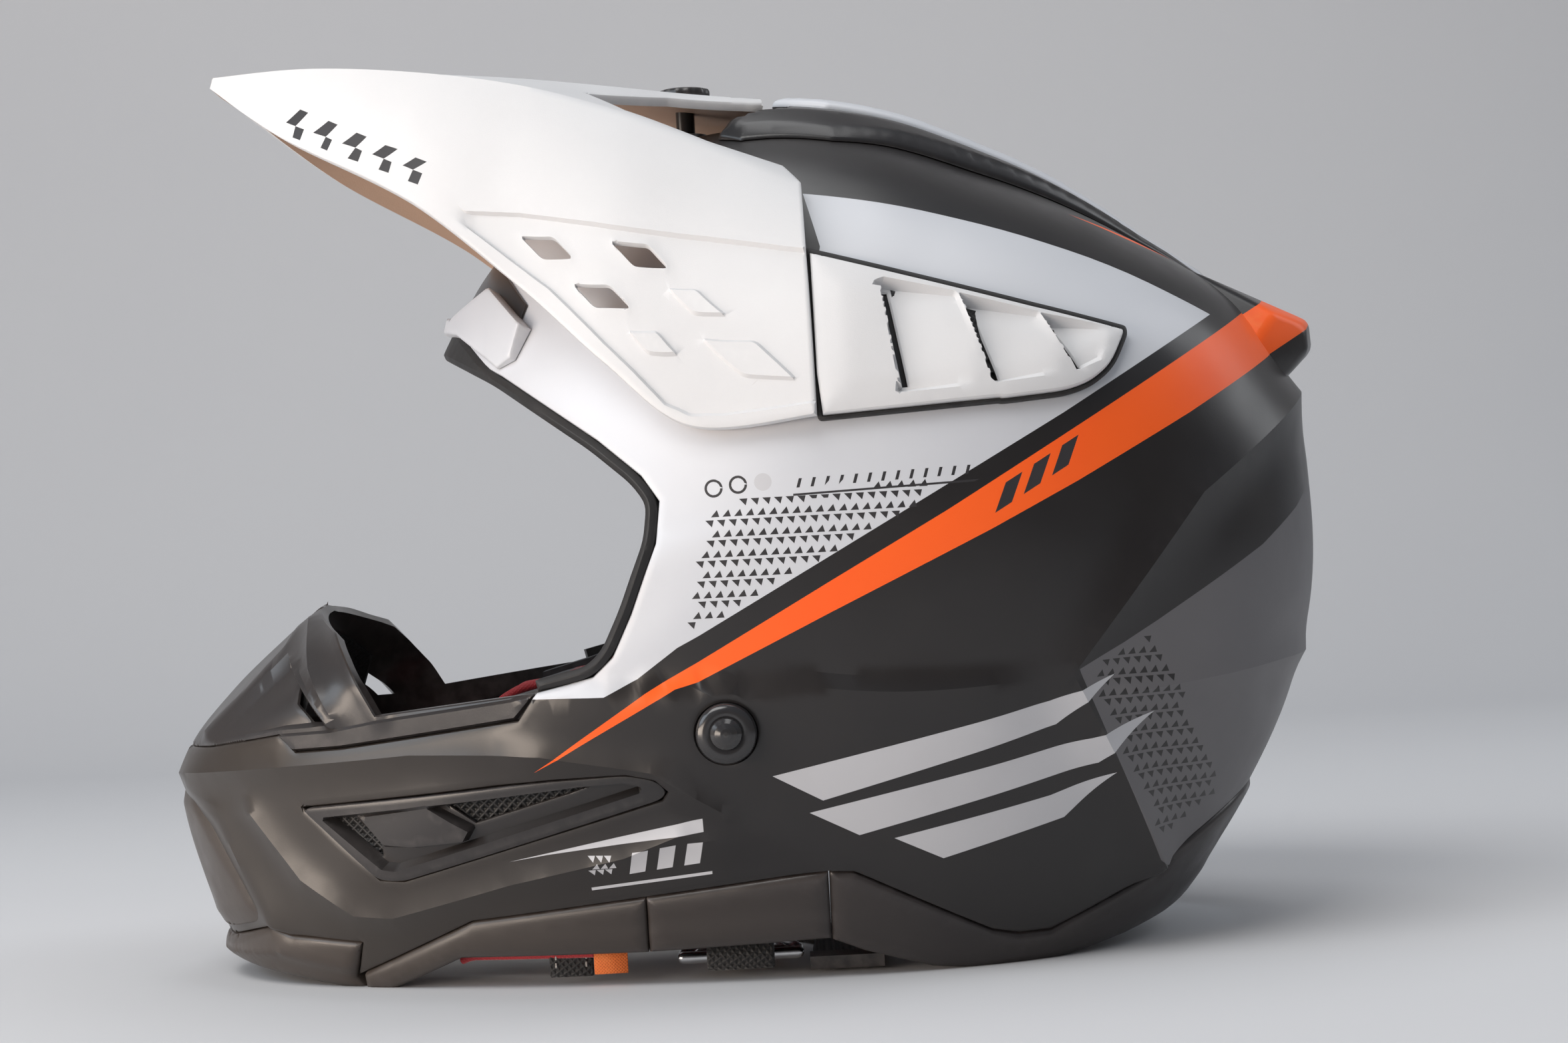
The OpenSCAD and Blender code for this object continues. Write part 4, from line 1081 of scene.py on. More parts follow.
for name, side in SIDES.items():
    # The walls of the louvre slits are black rubber: painted shade inside the slits.
    pod = panel(f"louvre_pod_{name}", SideChart, [pod_outline] + slits, pod_relief, -0.4,
                [PEAK_WHITE, RUBBER], side, step=1.6, rounding=0.9, coarse=6, sharp=30,
                lines=louvres.lines(), bore=1)
    fit(pod, "root", "visor_plastic", f"side_pod_{name}")
    seal = panel(f"pod_gasket_{name}", SideChart,
                 [under(soften(inset(pod_seen, -1.6), 1.5), SEAL_HEIGHT),
                  inset(pod_outline, -0.1)],
                 seal_relief, -0.4, [RUBBER], side, step=1.6, rounding=0.5, coarse=4)
    fit(seal, "root", "rubber_seal", f"pod_seal_{name}")

# ---------------------------------------------------------------- crown and brow

CROWN_EDGE = [[15, -1], [15, 27], [-1, 35], [-3, 41], [4, 47], [32, 48.5], [70, 36],
              [112, 22], [150, 6], [158, -1]]


SHOULDER = [[-5, 34], [30, 33], [70, 25], [112, 14], [160, 3]]
CROWN_HALF, CROWN_FOOT, CROWN_HEIGHT, CROWN_FALL = 46, 0.4, 6.2, 3.6


def crown_tail(x):
    """Share of the crown's height that is left at x, lower towards its tail."""
    return 1 - 0.75 * smooth_step((x - 70) / 85)


def crown_relief(p, e, q):
    """Raised glossy housing with a sharp shoulder, lower towards its tail."""
    x, y = p[:, 0], np.abs(p[:, 1])
    shoulder = height_on(SHOULDER, x)
    side_share = np.clip((y - shoulder) / np.maximum(CROWN_HALF - shoulder, 4), 0, 1)
    height = (CROWN_HEIGHT - CROWN_FALL * side_share) * crown_tail(x)
    return -CROWN_FOOT - height * np.clip(e / 5 + 0.25, 0, 1)


crown = panel("crown_housing", TopChart, [CROWN_EDGE], crown_relief, -0.3, [DARK_PLASTIC],
              step=2.2, rounding=0.8, coarse=6, sharp=40,
              lines=[[[-2, 34], [30, 33], [70, 25], [112, 14], [150, 4]]])
fit(crown, "root", "dark_plastic", "crown_vent")

SPINE = [[14, -1], [14, 13], [30, 19], [60, 15], [112, 8.5], [148, 2], [150, -1]]


def spine_relief(p, e, q):
    """Strip raised over the housing, thinner towards its tail."""
    x = p[:, 0]
    base = 6.7 * crown_tail(x) + CROWN_FOOT
    return -base - 2.4 * np.clip(e / 4 + 0.3, 0, 1) * (1 - 0.5 * smooth_step((x - 90) / 55))


def spine_foot(p, e, q):
    """Underside of the strip, just below the housing's face."""
    return -0.5 - 6.0 * crown_tail(p[:, 0])


spine = panel("crown_stripe", TopChart, [SPINE], spine_relief, spine_foot, [WHITE_PAINT],
              step=2.2, rounding=0.8, coarse=6)
fit(spine, "root", "panel_white", "crown_spine")

# The hood's upper edge stands off the shell and shades the duct behind it.
HOOD_HEIGHT, HOOD_FOOT, HOOD_RUN = 5.5, 0.3, 21.0
HOOD_EDGE = [[-104, 204], [-90, 203.4], [-76, 210.8], [-64.9, 197.4]]
HOOD = HOOD_EDGE + [[-70.3, 188.3], [-76, 186.2], [-89, 198], [-104, 199]]
DUCT = HOOD_EDGE[::-1] + [[-104, 228], [-78, 224], [-70, 214], [-62.5, 203]]
hood_edge = under(HOOD_EDGE, HOOD_HEIGHT)


def hood_relief(p, e, q):
    """Flat face that rises to the hood's upper edge."""
    share = np.clip(1 - line_gap(p[:, SIDE_AXES], hood_edge) / HOOD_RUN, 0, 1)
    return -HOOD_FOOT - (HOOD_HEIGHT - HOOD_FOOT) * share


hood = panel("brow_scoop", SideChart, [under(HOOD, HOOD_HEIGHT)], hood_relief, -0.4,
             [WHITE_PAINT], step=1.6, rounding=0.7, coarse=6, sharp=40)
fit(hood, "root", "panel_white", "brow_vent")
duct = panel("brow_duct", SideChart, [DUCT], -0.9, -0.2, [DARK_PLASTIC], step=2.5, rounding=0.3)
fit(duct, "root", "dark_plastic")

# ---------------------------------------------------------------- chin bar

MOUTH_OUTLINE = (MOUTH_SEAM + [[-64, 88.5], [-112, 83.5], [-120, 98], [-126, 108], [-137, 115],
                               [-150, 122], [-210, 150]])
MOUTH_SLOT = [[-139.2, 94.6], [-139.6, 88.7], [-134.4, 81.6], [-128.8, 81.5]]
# Hollow in front of the slot, and the raised band along the seam.
MOUTH_HOLLOW = [[-171, 76.6], [-156, 88.8], [-142.5, 101.5], [-138.2, 95.6], [-127.6, 80.9],
                [-134, 80.2], [-143, 79.6], [-167, 75]]
SEAM_BAND = [[-144, 78.4], [-139.5, 73.2], [-123, 74.3], [-68.8, 81.2], [-62.6, 88.6],
             [-70, 87.2], [-110, 82.4], [-126, 79.6]]
NOSE_RIDGES = [[[-171, 78], [-156, 90.5], [-143.5, 103], [-140.5, 112]],
               [[-141.2, 99.4], [-134, 90.6], [-126.6, 81.6]],
               [[-136.6, 110.5], [-132.8, 96.6], [-125.3, 84]],
               [[-125.5, 110], [-118, 98.4], [-109.4, 84.4]]]
NOSE_SIZES = [(7, 1.8), (2.6, 1.3), (7, 1.9), (6, 1.6)]
NOSE_GROUND, NOSE_MIDDLE = 0.3, 16    # plain depth of the cover, half width of its plain middle
nose = Steps(NOSE_GROUND)
nose.add(MOUTH_HOLLOW, slope([-168, 76], [-135, 88], (0.4, 3.2)), 1.4)
nose.add(SEAM_BAND, -1.1, 0.8)


def mouth_relief(p, e, q):
    """Nose cover: a hollow in front of its slot, ridges, and a raised band along the seam."""
    d = nose.depth(p[:, SIDE_AXES])
    for line, (width, height) in zip(NOSE_RIDGES, NOSE_SIZES):
        d -= ridge(p[:, 0], p[:, 2], line, width, height)
    share = smooth_step((np.abs(p[:, 1]) - NOSE_MIDDLE) / 20)
    return share * d + (1 - share) * NOSE_GROUND


mouth = panel("mouth_cover", SideChart, [MOUTH_OUTLINE, MOUTH_SLOT], mouth_relief, 3.9,
              [DARK_PLASTIC], step=1.8, rounding=0.9, coarse=6, sharp=30,
              lines=nose.lines() + NOSE_RIDGES)
fit(mouth, "root", "dark_plastic", "mouth_vent")

PLATE = [[-210, 59], [-177, 60], [-151.5, 21.2], [-169, 16.5], [-210, 16.5]]


def plate_relief(p, e, q):
    """Plate that is slightly domed."""
    return -0.9 - 1.3 * smooth_step(e / 5)


plate = panel("chin_front", SideChart, [soften(PLATE, 2)], plate_relief, -0.4, [TRIM_PLASTIC],
              step=2.0, rounding=0.8, coarse=6)
fit(plate, "root", "dark_plastic", "chin_plate")

GUARD = [[-210, 13.7], [-168, 13.7], [-152, 18.7], [-145, 16.2], [-122.3, 14.2],
         [-125.3, 3.2], [-123, 0], [-130, 0], [-168, 6], [-210, 6]]


def guard_relief(p, e, q):
    """Guard with a raised lip along its middle."""
    lip = ridge(p[:, 0], p[:, 2], [[-190, 9], [-168, 9.5], [-148, 12], [-127, 8]], 5, 1.4)
    return -0.6 - 0.9 * smooth_step(e / 2.5) - lip


guard = panel("chin_skid", SideChart, [GUARD], guard_relief, 5, [TRIM_PLASTIC], step=1.8,
              rounding=0.8, coarse=5)
fit(guard, "root", "trim_plastic", "chin_guard")

VENT_FRONT = [[-128.4, 52.3], [-122.4, 52.8], [-114, 45.2], [-114.2, 41]]
VENT_REAR = [[-92, 56], [-49.8, 60.2], [-55.6, 58.2], [-84, 50.3]]
VENT_WELL = [[-131.5, 53.4], [-52, 61.2], [-38.7, 61.8], [-33.4, 60.4], [-34.4, 58.7],
             [-108.6, 37.4], [-112.6, 37.9]]
VENT_BLOCK = [[-122.2, 53.6], [-97.4, 57], [-84, 49.4], [-86.6, 45.2], [-103.5, 43.2],
              [-113.2, 43.8]]
vent_steps = Steps(-1.0)
vent_steps.add(VENT_WELL, 2.8, 1.1)
vent_steps.add(VENT_BLOCK, slope([-120, 49], [-90, 51], (1.8, -1.0)), 1.0)


def vent_relief(p, e, q):
    """Framed air vent: raised rim, a well, and the scoop's block between its holes."""
    return vent_steps.depth(p[:, SIDE_AXES])


for name, side in SIDES.items():
    vent = panel(f"chin_scoop_{name}", SideChart,
                 [soften(inset(CHIN_VENT, 0.3), 3), VENT_FRONT, VENT_REAR], vent_relief, 3.6,
                 [DARK_PLASTIC], side, step=1.5, rounding=0.5, coarse=5, sharp=30,
                 lines=vent_steps.lines())
    fit(vent, "root", "dark_plastic", f"chin_vent_{name}")

# ---------------------------------------------------------------- edge trims


def shifted(line, distance):
    """Open line moved to its left by distance, with mitred corners."""
    line = np.asarray(line, float)
    d = np.diff(line, axis=0)
    n = np.stack([-d[:, 1], d[:, 0]], 1) / np.linalg.norm(d, axis=1)[:, None]
    first, last = np.concatenate([n[:1], n]), np.concatenate([n, n[-1:]])
    mitre = first + last
    return line + mitre * distance / np.maximum(0.4, 1 + np.sum(first * last, 1))[:, None]


port = soften(PORT_EDGE, 4, closed=False)
# The rubber's outer edge laps up over the shell's brow, towards the middle.
port_lap = shifted(port, 0.2)
port_lap[:, 1] += 8.5 * smooth_step((-72 - port_lap[:, 0]) / 20) * (port_lap[:, 1] > 150)
PORT_TRIM = np.concatenate([port_lap, shifted(port, 3.6)[::-1]])


def port_trim_relief(p, e, q):
    """Rubber bead, highest in its middle."""
    return -0.3 - 1.1 * smooth_step(e / 1.4)


port_trim = panel("port_rubber", SideChart, [PORT_TRIM], port_trim_relief, 3.7, [RUBBER],
                  step=1.6, rounding=0.6, coarse=4)
fit(port_trim, "root", "rubber_seal", "eyeport_trim")

TRIM_TOP = HEM[5:]
TRIM_FOOT = [[-113, 0], [-91, 10], [-36, 10.5], [18, 12.5], [28, 8], [48, 1.5], [60, 0],
             [86, 0], [106, 4], [120, 8], [138, 15], [152, 30], [200, 48]]


SWELL_TOP, SWELL = 5, 0.8             # height over the foot at which the swell fades, its size


def part_of(line, x0, x1):
    """Stretch of a line between two places along X."""
    line = np.asarray(line, float)
    ends = [[x, height_on(line, x)] for x in (x0, x1)]
    return np.array([ends[0]] + [p for p in line if x0 < p[0] < x1] + [ends[1]])


def trim_relief(p, e, q):
    """Edge trim that swells below a narrow step under the shell."""
    foot = height_on(TRIM_FOOT, p[:, 0])
    swell = 1 - smooth_step((p[:, 2] - foot - SWELL_TOP) / 5)
    return -0.3 - 1.0 * smooth_step(e / 2) - SWELL * swell


def edge_trim(name, node, x0, x1, side):
    """Stretch of the trim under the shell's hem, from x0 to x1."""
    outline = np.concatenate([part_of(TRIM_FOOT, x0, x1),
                              part_of(TRIM_TOP, x0, x1)[::-1] - [0, 0.35]])
    trim = panel(name, SideChart, [outline], trim_relief, 4.4, [TRIM_PLASTIC], side,
                 step=2.0, rounding=0.7, coarse=5)
    fit(trim, "root", "trim_plastic", node)


for name, side in SIDES.items():
    edge_trim(f"front_edge_{name}", f"edge_trim_front_{name}", -122.4, -35, side)
    edge_trim(f"middle_edge_{name}", f"edge_trim_mid_{name}", -34.7, 18.5, side)
edge_trim("rear_edge", "edge_trim_rear", 18.8, 199, 0)

# ---------------------------------------------------------------- rear spoiler

SPOILER = [[116, 6, 221], [146, 30, 204], [166, 40, 190.5], [176.5, 33, 187], [177, 32, 178.5],
           [182, 6, 189.5], [182.6, 6, 180], [168, 38, 169.6], [154, 50, 175]]
# The painted stripe's edges run on over it: a point of each, and their common direction.
STRIPE_EDGES, STRIPE_RUN = [[131, 0, 159.9], [102.6, 0, 160.8]], np.array([0.872, 0, 0.489])


def painted_band(mesh, edges, run):
    """Gives the faces between two lines of the side view the second material."""
    up = np.array([-run[2], 0, run[0]])
    for point in edges:
        bmesh.ops.bisect_plane(mesh, geom=mesh.verts[:] + mesh.edges[:] + mesh.faces[:],
                               dist=1e-6, plane_co=np.array(point) * MM, plane_no=up)
    levels = [np.array(point) @ up * MM for point in edges]
    for face in mesh.faces:
        if levels[0] < np.array(face.calc_center_median()) @ up < levels[1]:
            face.material_index = 1


def convex(name, corners, round_by, materials):
    """Convex piece over corners on both sides, with rounded edges and the stripe over it."""
    mesh = bmesh.new()
    for x, y, z in corners:
        for s in (-1, 1):
            mesh.verts.new((x * MM, s * y * MM, z * MM))
    hull = bmesh.ops.convex_hull(mesh, input=mesh.verts)
    spare = [g for g in hull["geom_interior"] + hull["geom_unused"]
             if isinstance(g, bmesh.types.BMVert)]
    bmesh.ops.delete(mesh, geom=list(set(spare)), context="VERTS")
    bmesh.ops.dissolve_limit(mesh, angle_limit=math.radians(4), verts=mesh.verts,
                             edges=mesh.edges)
    bmesh.ops.bevel(mesh, geom=list(mesh.edges), offset=round_by * MM, segments=4,
                    affect="EDGES", profile=0.5)
    painted_band(mesh, STRIPE_EDGES, STRIPE_RUN)
    mesh.verts.index_update()
    verts = [vert.co / MM for vert in mesh.verts]
    # The hull lists its faces in a new order each run, so they are sorted by their points.
    rows = []
    for face in mesh.faces:
        loop = [vert.index for vert in face.verts]
        first = loop.index(min(loop))
        rows.append((loop[first:] + loop[:first], face.material_index))
    rows.sort()
    mesh.free()
    faces, kinds = zip(*rows)
    return make_object(name, verts, faces, materials, kinds)


spoiler = convex("rear_lip", SPOILER, 2.0, [DARK_PLASTIC, ORANGE_PAINT])
fit(spoiler, "root", "shell_paint", "rear_spoiler")

# ---------------------------------------------------------------- strap hardware

def fix_normals(piece, weld=None):
    """Turns a piece's faces outwards, after joining points nearer than weld millimetres."""
    mesh = bmesh.new()
    mesh.from_mesh(piece.data)
    if weld:
        bmesh.ops.remove_doubles(mesh, verts=mesh.verts, dist=weld * MM)
    bmesh.ops.recalc_face_normals(mesh, faces=mesh.faces)
    mesh.to_mesh(piece.data)
    mesh.free()


def lathe(name, profile, x, z, mirror, material, n=64):
    """Turned piece about a line along Y; profile is (radius, distance from the middle)."""
    ring = np.linspace(0, 2 * np.pi, n, endpoint=False)
    verts = [(x + r * np.cos(a), mirror * y, z + r * np.sin(a)) for r, y in profile for a in ring]
    m = len(profile)
    faces = []
    for i in range(m):
        for j in range(n):
            a, b = i * n + j, i * n + (j + 1) % n
            c, d = (i + 1) % m * n + (j + 1) % n, (i + 1) % m * n + j
            faces.append((a, b, c, d) if mirror > 0 else (d, c, b, a))
    return make_object(name, verts, faces, [material], sharp=40)


def rounded_ring(inner, outer, low, high, swell, n=10):
    """Closed profile of a washer whose face is crowned by swell."""
    a = np.linspace(0, np.pi, n)
    crown = [((outer + inner) / 2 + (outer - inner) / 2 * np.cos(t), high + swell * np.sin(t))
             for t in a]
    return [(inner, low), (outer, low)] + crown


for name, side in SIDES.items():
    washer = lathe(f"washer_{name}", rounded_ring(3.05, 8.7, 107.6, 119.8, 2.0), RIVET_X,
                   RIVET_Z, side, GLOSS_PLASTIC)
    fit(washer, "root", "rubber_seal", "rivet_washers")

KNOB_X = -14.0
KNOB_PROFILE = [(0, 245), (2.6, 245), (3.0, 245.6), (3.0, 270.6), (6.0, 271.3), (8.2, 271.5),
                (8.5, 272.0), (8.5, 273.6), (8.1, 274.3), (6.6, 274.7), (5.9, 274.2),
                (2.6, 274.1), (0, 274.1)]


FLUTES, FLUTE_DEPTH, HEAD_R = 12, 0.35, 8.0
SLOT_R, SLOT_HALF, SLOT_DEPTH, FACE_Z = 6.2, 0.8, 0.7, 274.0


def knob_screw(name, profile, x, material, n=96):
    """Thumb screw about a line along Z, with a fluted head and a shallow slot."""
    verts = []
    for r, z in profile:
        flute = FLUTE_DEPTH if r > HEAD_R else 0.0
        for a in np.linspace(0, 2 * np.pi, n, endpoint=False):
            radius = r - flute * (0.5 + 0.5 * math.cos(FLUTES * a))
            y = radius * math.sin(a)
            slotted = z > FACE_Z and abs(y) < SLOT_HALF and r < SLOT_R
            verts.append((x + radius * math.cos(a), y, z - (SLOT_DEPTH if slotted else 0.0)))
    faces = []
    for i in range(len(profile) - 1):
        for j in range(n):
            a, b = i * n + j, i * n + (j + 1) % n
            faces.append((a, b, b + n, a + n))
    piece = make_object(name, verts, faces, [material], sharp=40)
    fix_normals(piece, weld=0.01)
    return piece


knob = knob_screw("visor_thumb_screw", KNOB_PROFILE, KNOB_X, DARK_PLASTIC)
fit(knob, "visor_screw", "dark_plastic", "visor_knob")

# ---------------------------------------------------------------- tubes and webbing


def sweep(name, path, wide, section, material, closed=False):
    """Solid along a path. wide is the direction of the section's first axis at each point."""
    path = np.asarray(path, float)
    n = len(path)
    if closed:
        ahead = np.roll(path, -1, 0) - np.roll(path, 1, 0)
    else:
        ahead = np.gradient(path, axis=0)
    ahead /= np.linalg.norm(ahead, axis=1)[:, None]
    wide = np.broadcast_to(np.asarray(wide, float), path.shape)
    thick = np.cross(ahead, wide)
    thick /= np.linalg.norm(thick, axis=1)[:, None]
    wide = np.cross(thick, ahead)
    m = len(section)
    verts = [path[i] + wide[i] * a + thick[i] * b for i in range(n) for a, b in section]
    faces = []
    for i in range(n if closed else n - 1):
        for j in range(m):
            a, b = i * m + j, i * m + (j + 1) % m
            k = (i + 1) % n * m
            faces.append((a, b, k + (j + 1) % m, k + j))
    if not closed:
        faces += [tuple(reversed(range(m))), tuple(range((n - 1) * m, n * m))]
    piece = make_object(name, verts, faces, [material], sharp=50)
    fix_normals(piece)
    return piece


def round_section(radius, n=10):
    """Points of a round section."""
    a = np.linspace(0, 2 * np.pi, n, endpoint=False)
    return [(radius * np.cos(t), radius * np.sin(t)) for t in a]


def flat_section(width, thick, n=5):
    """Rounded bar section, wide along the first axis."""
    r = thick / 2
    right = [(width / 2 - r + r * np.cos(t), r * np.sin(t))
             for t in np.linspace(-np.pi / 2, np.pi / 2, n)]
    return right + [(-a, -b) for a, b in right]


def smooth_path(points, spacing=2.0):
    """Catmull-Rom curve through points, with points about spacing apart."""
    points = np.asarray(points, float)
    length = np.sum(np.linalg.norm(np.diff(points, axis=0), axis=1))
    u = np.linspace(0, len(points) - 1, max(8, int(length / spacing)))
    return along(points, u)


def stitches(name, path, offset, material, pitch=3.2, length=2.0, radius=0.28):
    """Row of short thread stitches along a path, lifted off the surface by offset."""
    path = smooth_path(path, 0.4)
    steps = np.concatenate([[0], np.cumsum(np.linalg.norm(np.diff(path, axis=0), axis=1))])
    verts, faces = [], []
    ring = round_section(radius, 6)
    for start in np.arange(pitch / 2, steps[-1] - length, pitch):
        base = len(verts)
        spots = [np.array([np.interp(start + length * t, steps, path[:, k]) for k in range(3)])
                 for t in (0, 0.25, 0.75, 1)]
        ahead = (spots[-1] - spots[0]) / np.linalg.norm(spots[-1] - spots[0])
        up = np.asarray(offset, float) / np.linalg.norm(offset)
        across = np.cross(ahead, up)
        for spot, lift in zip(spots, (-0.25, 0.15, 0.15, -0.25)):
            verts += [spot + offset + up * lift + across * a + up * b for a, b in ring]
        for i in range(3):
            for j in range(6):
                a, b = base + i * 6 + j, base + i * 6 + (j + 1) % 6
                faces.append((a, b, b + 6, a + 6))
        faces += [tuple(range(base + 5, base - 1, -1)), tuple(range(base + 18, base + 24))]
    piece = make_object(name, verts, faces, [material])
    fix_normals(piece)
    return piece


STRAP_WIDE, STRAP_THICK = 20, 1.7
STRAP_DROP = [[106.4, 87], [106.4, 68], [96.5, 44], [86, 20], [80.6, 10.5]]
ACROSS = (1, 0, 0)


def on_side_path(points, side, x=RIVET_X):
    """Path in the plane of the strap, from (distance from the middle, height)."""
    return [[x, side * y, z] for y, z in points]


ring_wrap = [[80.2, 9.6], [82, 6.5], [80.2, 3.4], [76.5, 3.0], [73, 3.4], [71.2, 6.5],
             [73, 9.8], [78, 10.6], [81.5, 15], [84.6, 22], [90.5, 35.5]]
left_path = smooth_path(on_side_path(STRAP_DROP + ring_wrap, -1), 1.2)
left_strap = sweep("strap_short", left_path, ACROSS, flat_section(STRAP_WIDE, STRAP_THICK),
                   WEBBING)
fit(left_strap, "chin_strap", "webbing", "strap_left")
for i, shift in enumerate((-8.2, 8.2)):
    row = stitches(f"strap_thread_{i}", on_side_path([[103.6, 62], [96.5, 44.5], [88, 25]], -1,
                                                    RIVET_X + shift), [0, -1.0, -0.4], THREAD)
    fit(row, "chin_strap", "webbing")

TAIL_X = 23.0
right_drop = on_side_path(STRAP_DROP + [[72, 5.4], [62, 3.4]], 1)
right_run = [[RIVET_X, 48, 3], [RIVET_X, 30, 3], [RIVET_X + 5, 14, 3], [TAIL_X - 10, -2, 3],
             [TAIL_X, -22, 3], [TAIL_X, -48, 3], [TAIL_X, -71, 3]]
right_path = smooth_path(right_drop + right_run, 1.5)
right_strap = sweep("strap_long", right_path, ACROSS, flat_section(STRAP_WIDE, STRAP_THICK),
                    WEBBING)
fit(right_strap, "chin_strap", "webbing", "strap_right")

sleeve_path = smooth_path([[RIVET_X, y, 3.6] for y in (34, 36, 46, 56, 58)], 2)
sleeve = sweep("strap_sleeve", sleeve_path, ACROSS, flat_section(23, 5.0, 9), KNIT)
fit(sleeve, "chin_strap", "strap_fabric", "strap_sleeves")

# The tab folds round the outer ring's far bar: (distance beyond the bar, height).
RING_BAR_Y = -56
TAB_FOLD = [[21.5, 6.6], [8, 7.0], [2, 8.9], [-1.6, 8.7], [-2.8, 6.5], [-1.6, 4.3], [2, 4.1],
            [8, 5.4], [21.5, 5.6]]
tab_path = smooth_path([[RIVET_X, RING_BAR_Y + y, z] for y, z in TAB_FOLD], 1.0)
pull = sweep("ring_pull", tab_path, ACROSS, flat_section(12, 0.9), RED_TAPE)
fit(pull, "ring_outer", "red_webbing", "pull_tab")

LOOP_X, LOOP_OUTER, LOOP_SEAM = -59, 76.4, 4.5
LOOP = [[74.9, 29.6], [74.9, 16], [75.0, 5], [75.6, 2.6], [76.3, 5], [LOOP_OUTER, 16],
        [LOOP_OUTER, 29.6]]
for name, side in SIDES.items():
    tab = sweep(f"release_loop_{name}", smooth_path(on_side_path(LOOP, side, LOOP_X), 1.0),
                ACROSS, flat_section(13, 0.9), WEBBING)
    fit(tab, f"cheek_{name}", "red_webbing", f"release_tab_{name}")
    for i, x in enumerate((LOOP_X - LOOP_SEAM, LOOP_X + LOOP_SEAM)):
        thread = stitches(f"release_thread_{name}_{i}",
                          on_side_path([[LOOP_OUTER, 27], [LOOP_OUTER, 5]], side, x),
                          [0, side * 0.55, 0], THREAD, pitch=2.4, length=1.5)
        fit(thread, f"cheek_{name}", "red_webbing")

LABEL_X = -47
LABEL_FOLD = [[79.2, 24], [79.3, 16], [79.3, 6], [79.7, 3.2], [80.1, 6], [80.0, 16], [79.9, 24]]
tag_path = smooth_path(on_side_path(LABEL_FOLD, -1, LABEL_X), 0.8)
tag = sweep("label", tag_path, ACROSS, flat_section(10, 0.4, 3), TAG_CLOTH)
fit(tag, "root", "orange_tag", "size_tag")

# ---------------------------------------------------------------- pads


def evaluated(piece):
    """Mesh of a piece with its modifiers, as a new mesh."""
    graph = bpy.context.evaluated_depsgraph_get()
    return bpy.data.meshes.new_from_object(piece.evaluated_get(graph))


def baked(piece):
    """Turns a piece's modifiers into its mesh."""
    mesh = evaluated(piece)
    piece.modifiers.clear()
    piece.data = mesh


def points_of(mesh, kind="co"):
    """Places of a mesh's points in metres, or their normals."""
    values = np.zeros(len(mesh.vertices) * 3)
    mesh.vertices.foreach_get(kind, values)
    return values.reshape(-1, 3)


def set_points(mesh, co):
    """Moves a mesh's points to new places in metres."""
    mesh.vertices.foreach_set("co", co.ravel())
    mesh.update()


def relax(mesh, rounds):
    """Moves each point towards the middle of its neighbours."""
    edges = np.zeros(len(mesh.edges) * 2, int)
    mesh.edges.foreach_get("vertices", edges)
    a, b = edges.reshape(-1, 2).T
    count = np.bincount(np.concatenate([a, b]), minlength=len(mesh.vertices))[:, None]
    co = points_of(mesh)
    for _ in range(rounds):
        total = np.zeros_like(co)
        np.add.at(total, a, co[b])
        np.add.at(total, b, co[a])
        co = co * 0.5 + 0.5 * total / np.maximum(count, 1)
    set_points(mesh, co)


PRESSURE, STIFFNESS, BENDING, FRAMES = 4.0, 12, 0.8, 20


def plump(name, solid, material, voxel, shrink, cap):
    """Padded piece: a copy of a solid remeshed, made smaller, then blown up as cloth.

    voxel, shrink and the furthest that a point may move, cap, are in millimetres.
    """
    piece = linked(name, solid.data.copy())
    piece.data.materials.clear()
    piece.data.materials.append(material)
    remesh = piece.modifiers.new("remesh", "REMESH")
    remesh.mode = "VOXEL"
    remesh.voxel_size = voxel * MM
    baked(piece)
    relax(piece.data, 4)
    start = points_of(piece.data) - points_of(piece.data, "normal") * shrink * MM
    set_points(piece.data, start)
    cloth = piece.modifiers.new("cloth", "CLOTH")
    cloth.settings.quality = 4
    cloth.settings.use_pressure = True
    cloth.settings.uniform_pressure_force = PRESSURE
    cloth.settings.effector_weights.gravity = 0
    cloth.settings.tension_stiffness = STIFFNESS
    cloth.settings.compression_stiffness = STIFFNESS
    cloth.settings.bending_stiffness = BENDING
    cloth.point_cache.frame_start = 1
    cloth.point_cache.frame_end = FRAMES
    for step in range(1, FRAMES + 1):
        bpy.context.scene.frame_set(step)
    moved = points_of(evaluated(piece)) - start
    piece.modifiers.clear()
    bpy.context.scene.frame_set(1)
    far = np.linalg.norm(moved, axis=1)
    moved *= np.minimum(1, cap * MM / np.maximum(far, 1e-9))[:, None]
    set_points(piece.data, start + moved)
    relax(piece.data, 1)
    smooth = piece.modifiers.new("smooth", "SUBSURF")
    smooth.levels = 1
    baked(piece)
    piece.data.shade_smooth()
    return piece


def grooves(piece, lines, axes, width, depth):
    """Presses sewn channels into a pad along lines drawn in two of its axes, in millimetres."""
    co = points_of(piece.data)
    gap = np.min([line_gap(co[:, axes] / MM, line) for line in lines], axis=0)
    push = depth * MM * (1 - smooth_step(gap / width))
    set_points(piece.data, co - points_of(piece.data, "normal") * push[:, None])


def hugging(path, piece, lift):
    """Closed path moved to the nearest places of a piece's surface, lift outwards of it."""
    mesh = piece.data
    tree = BVHTree.FromPolygons([v.co for v in mesh.vertices],
                                [face.vertices for face in mesh.polygons])
    found = [tree.find_nearest(Vector(point) * MM)[:2] for point in path]
    out = np.array([(near + normal * lift * MM) / MM for near, normal in found])
    for _ in range(3):
        out = (np.roll(out, 1, 0) + 2 * out + np.roll(out, -1, 0)) / 4
    return out


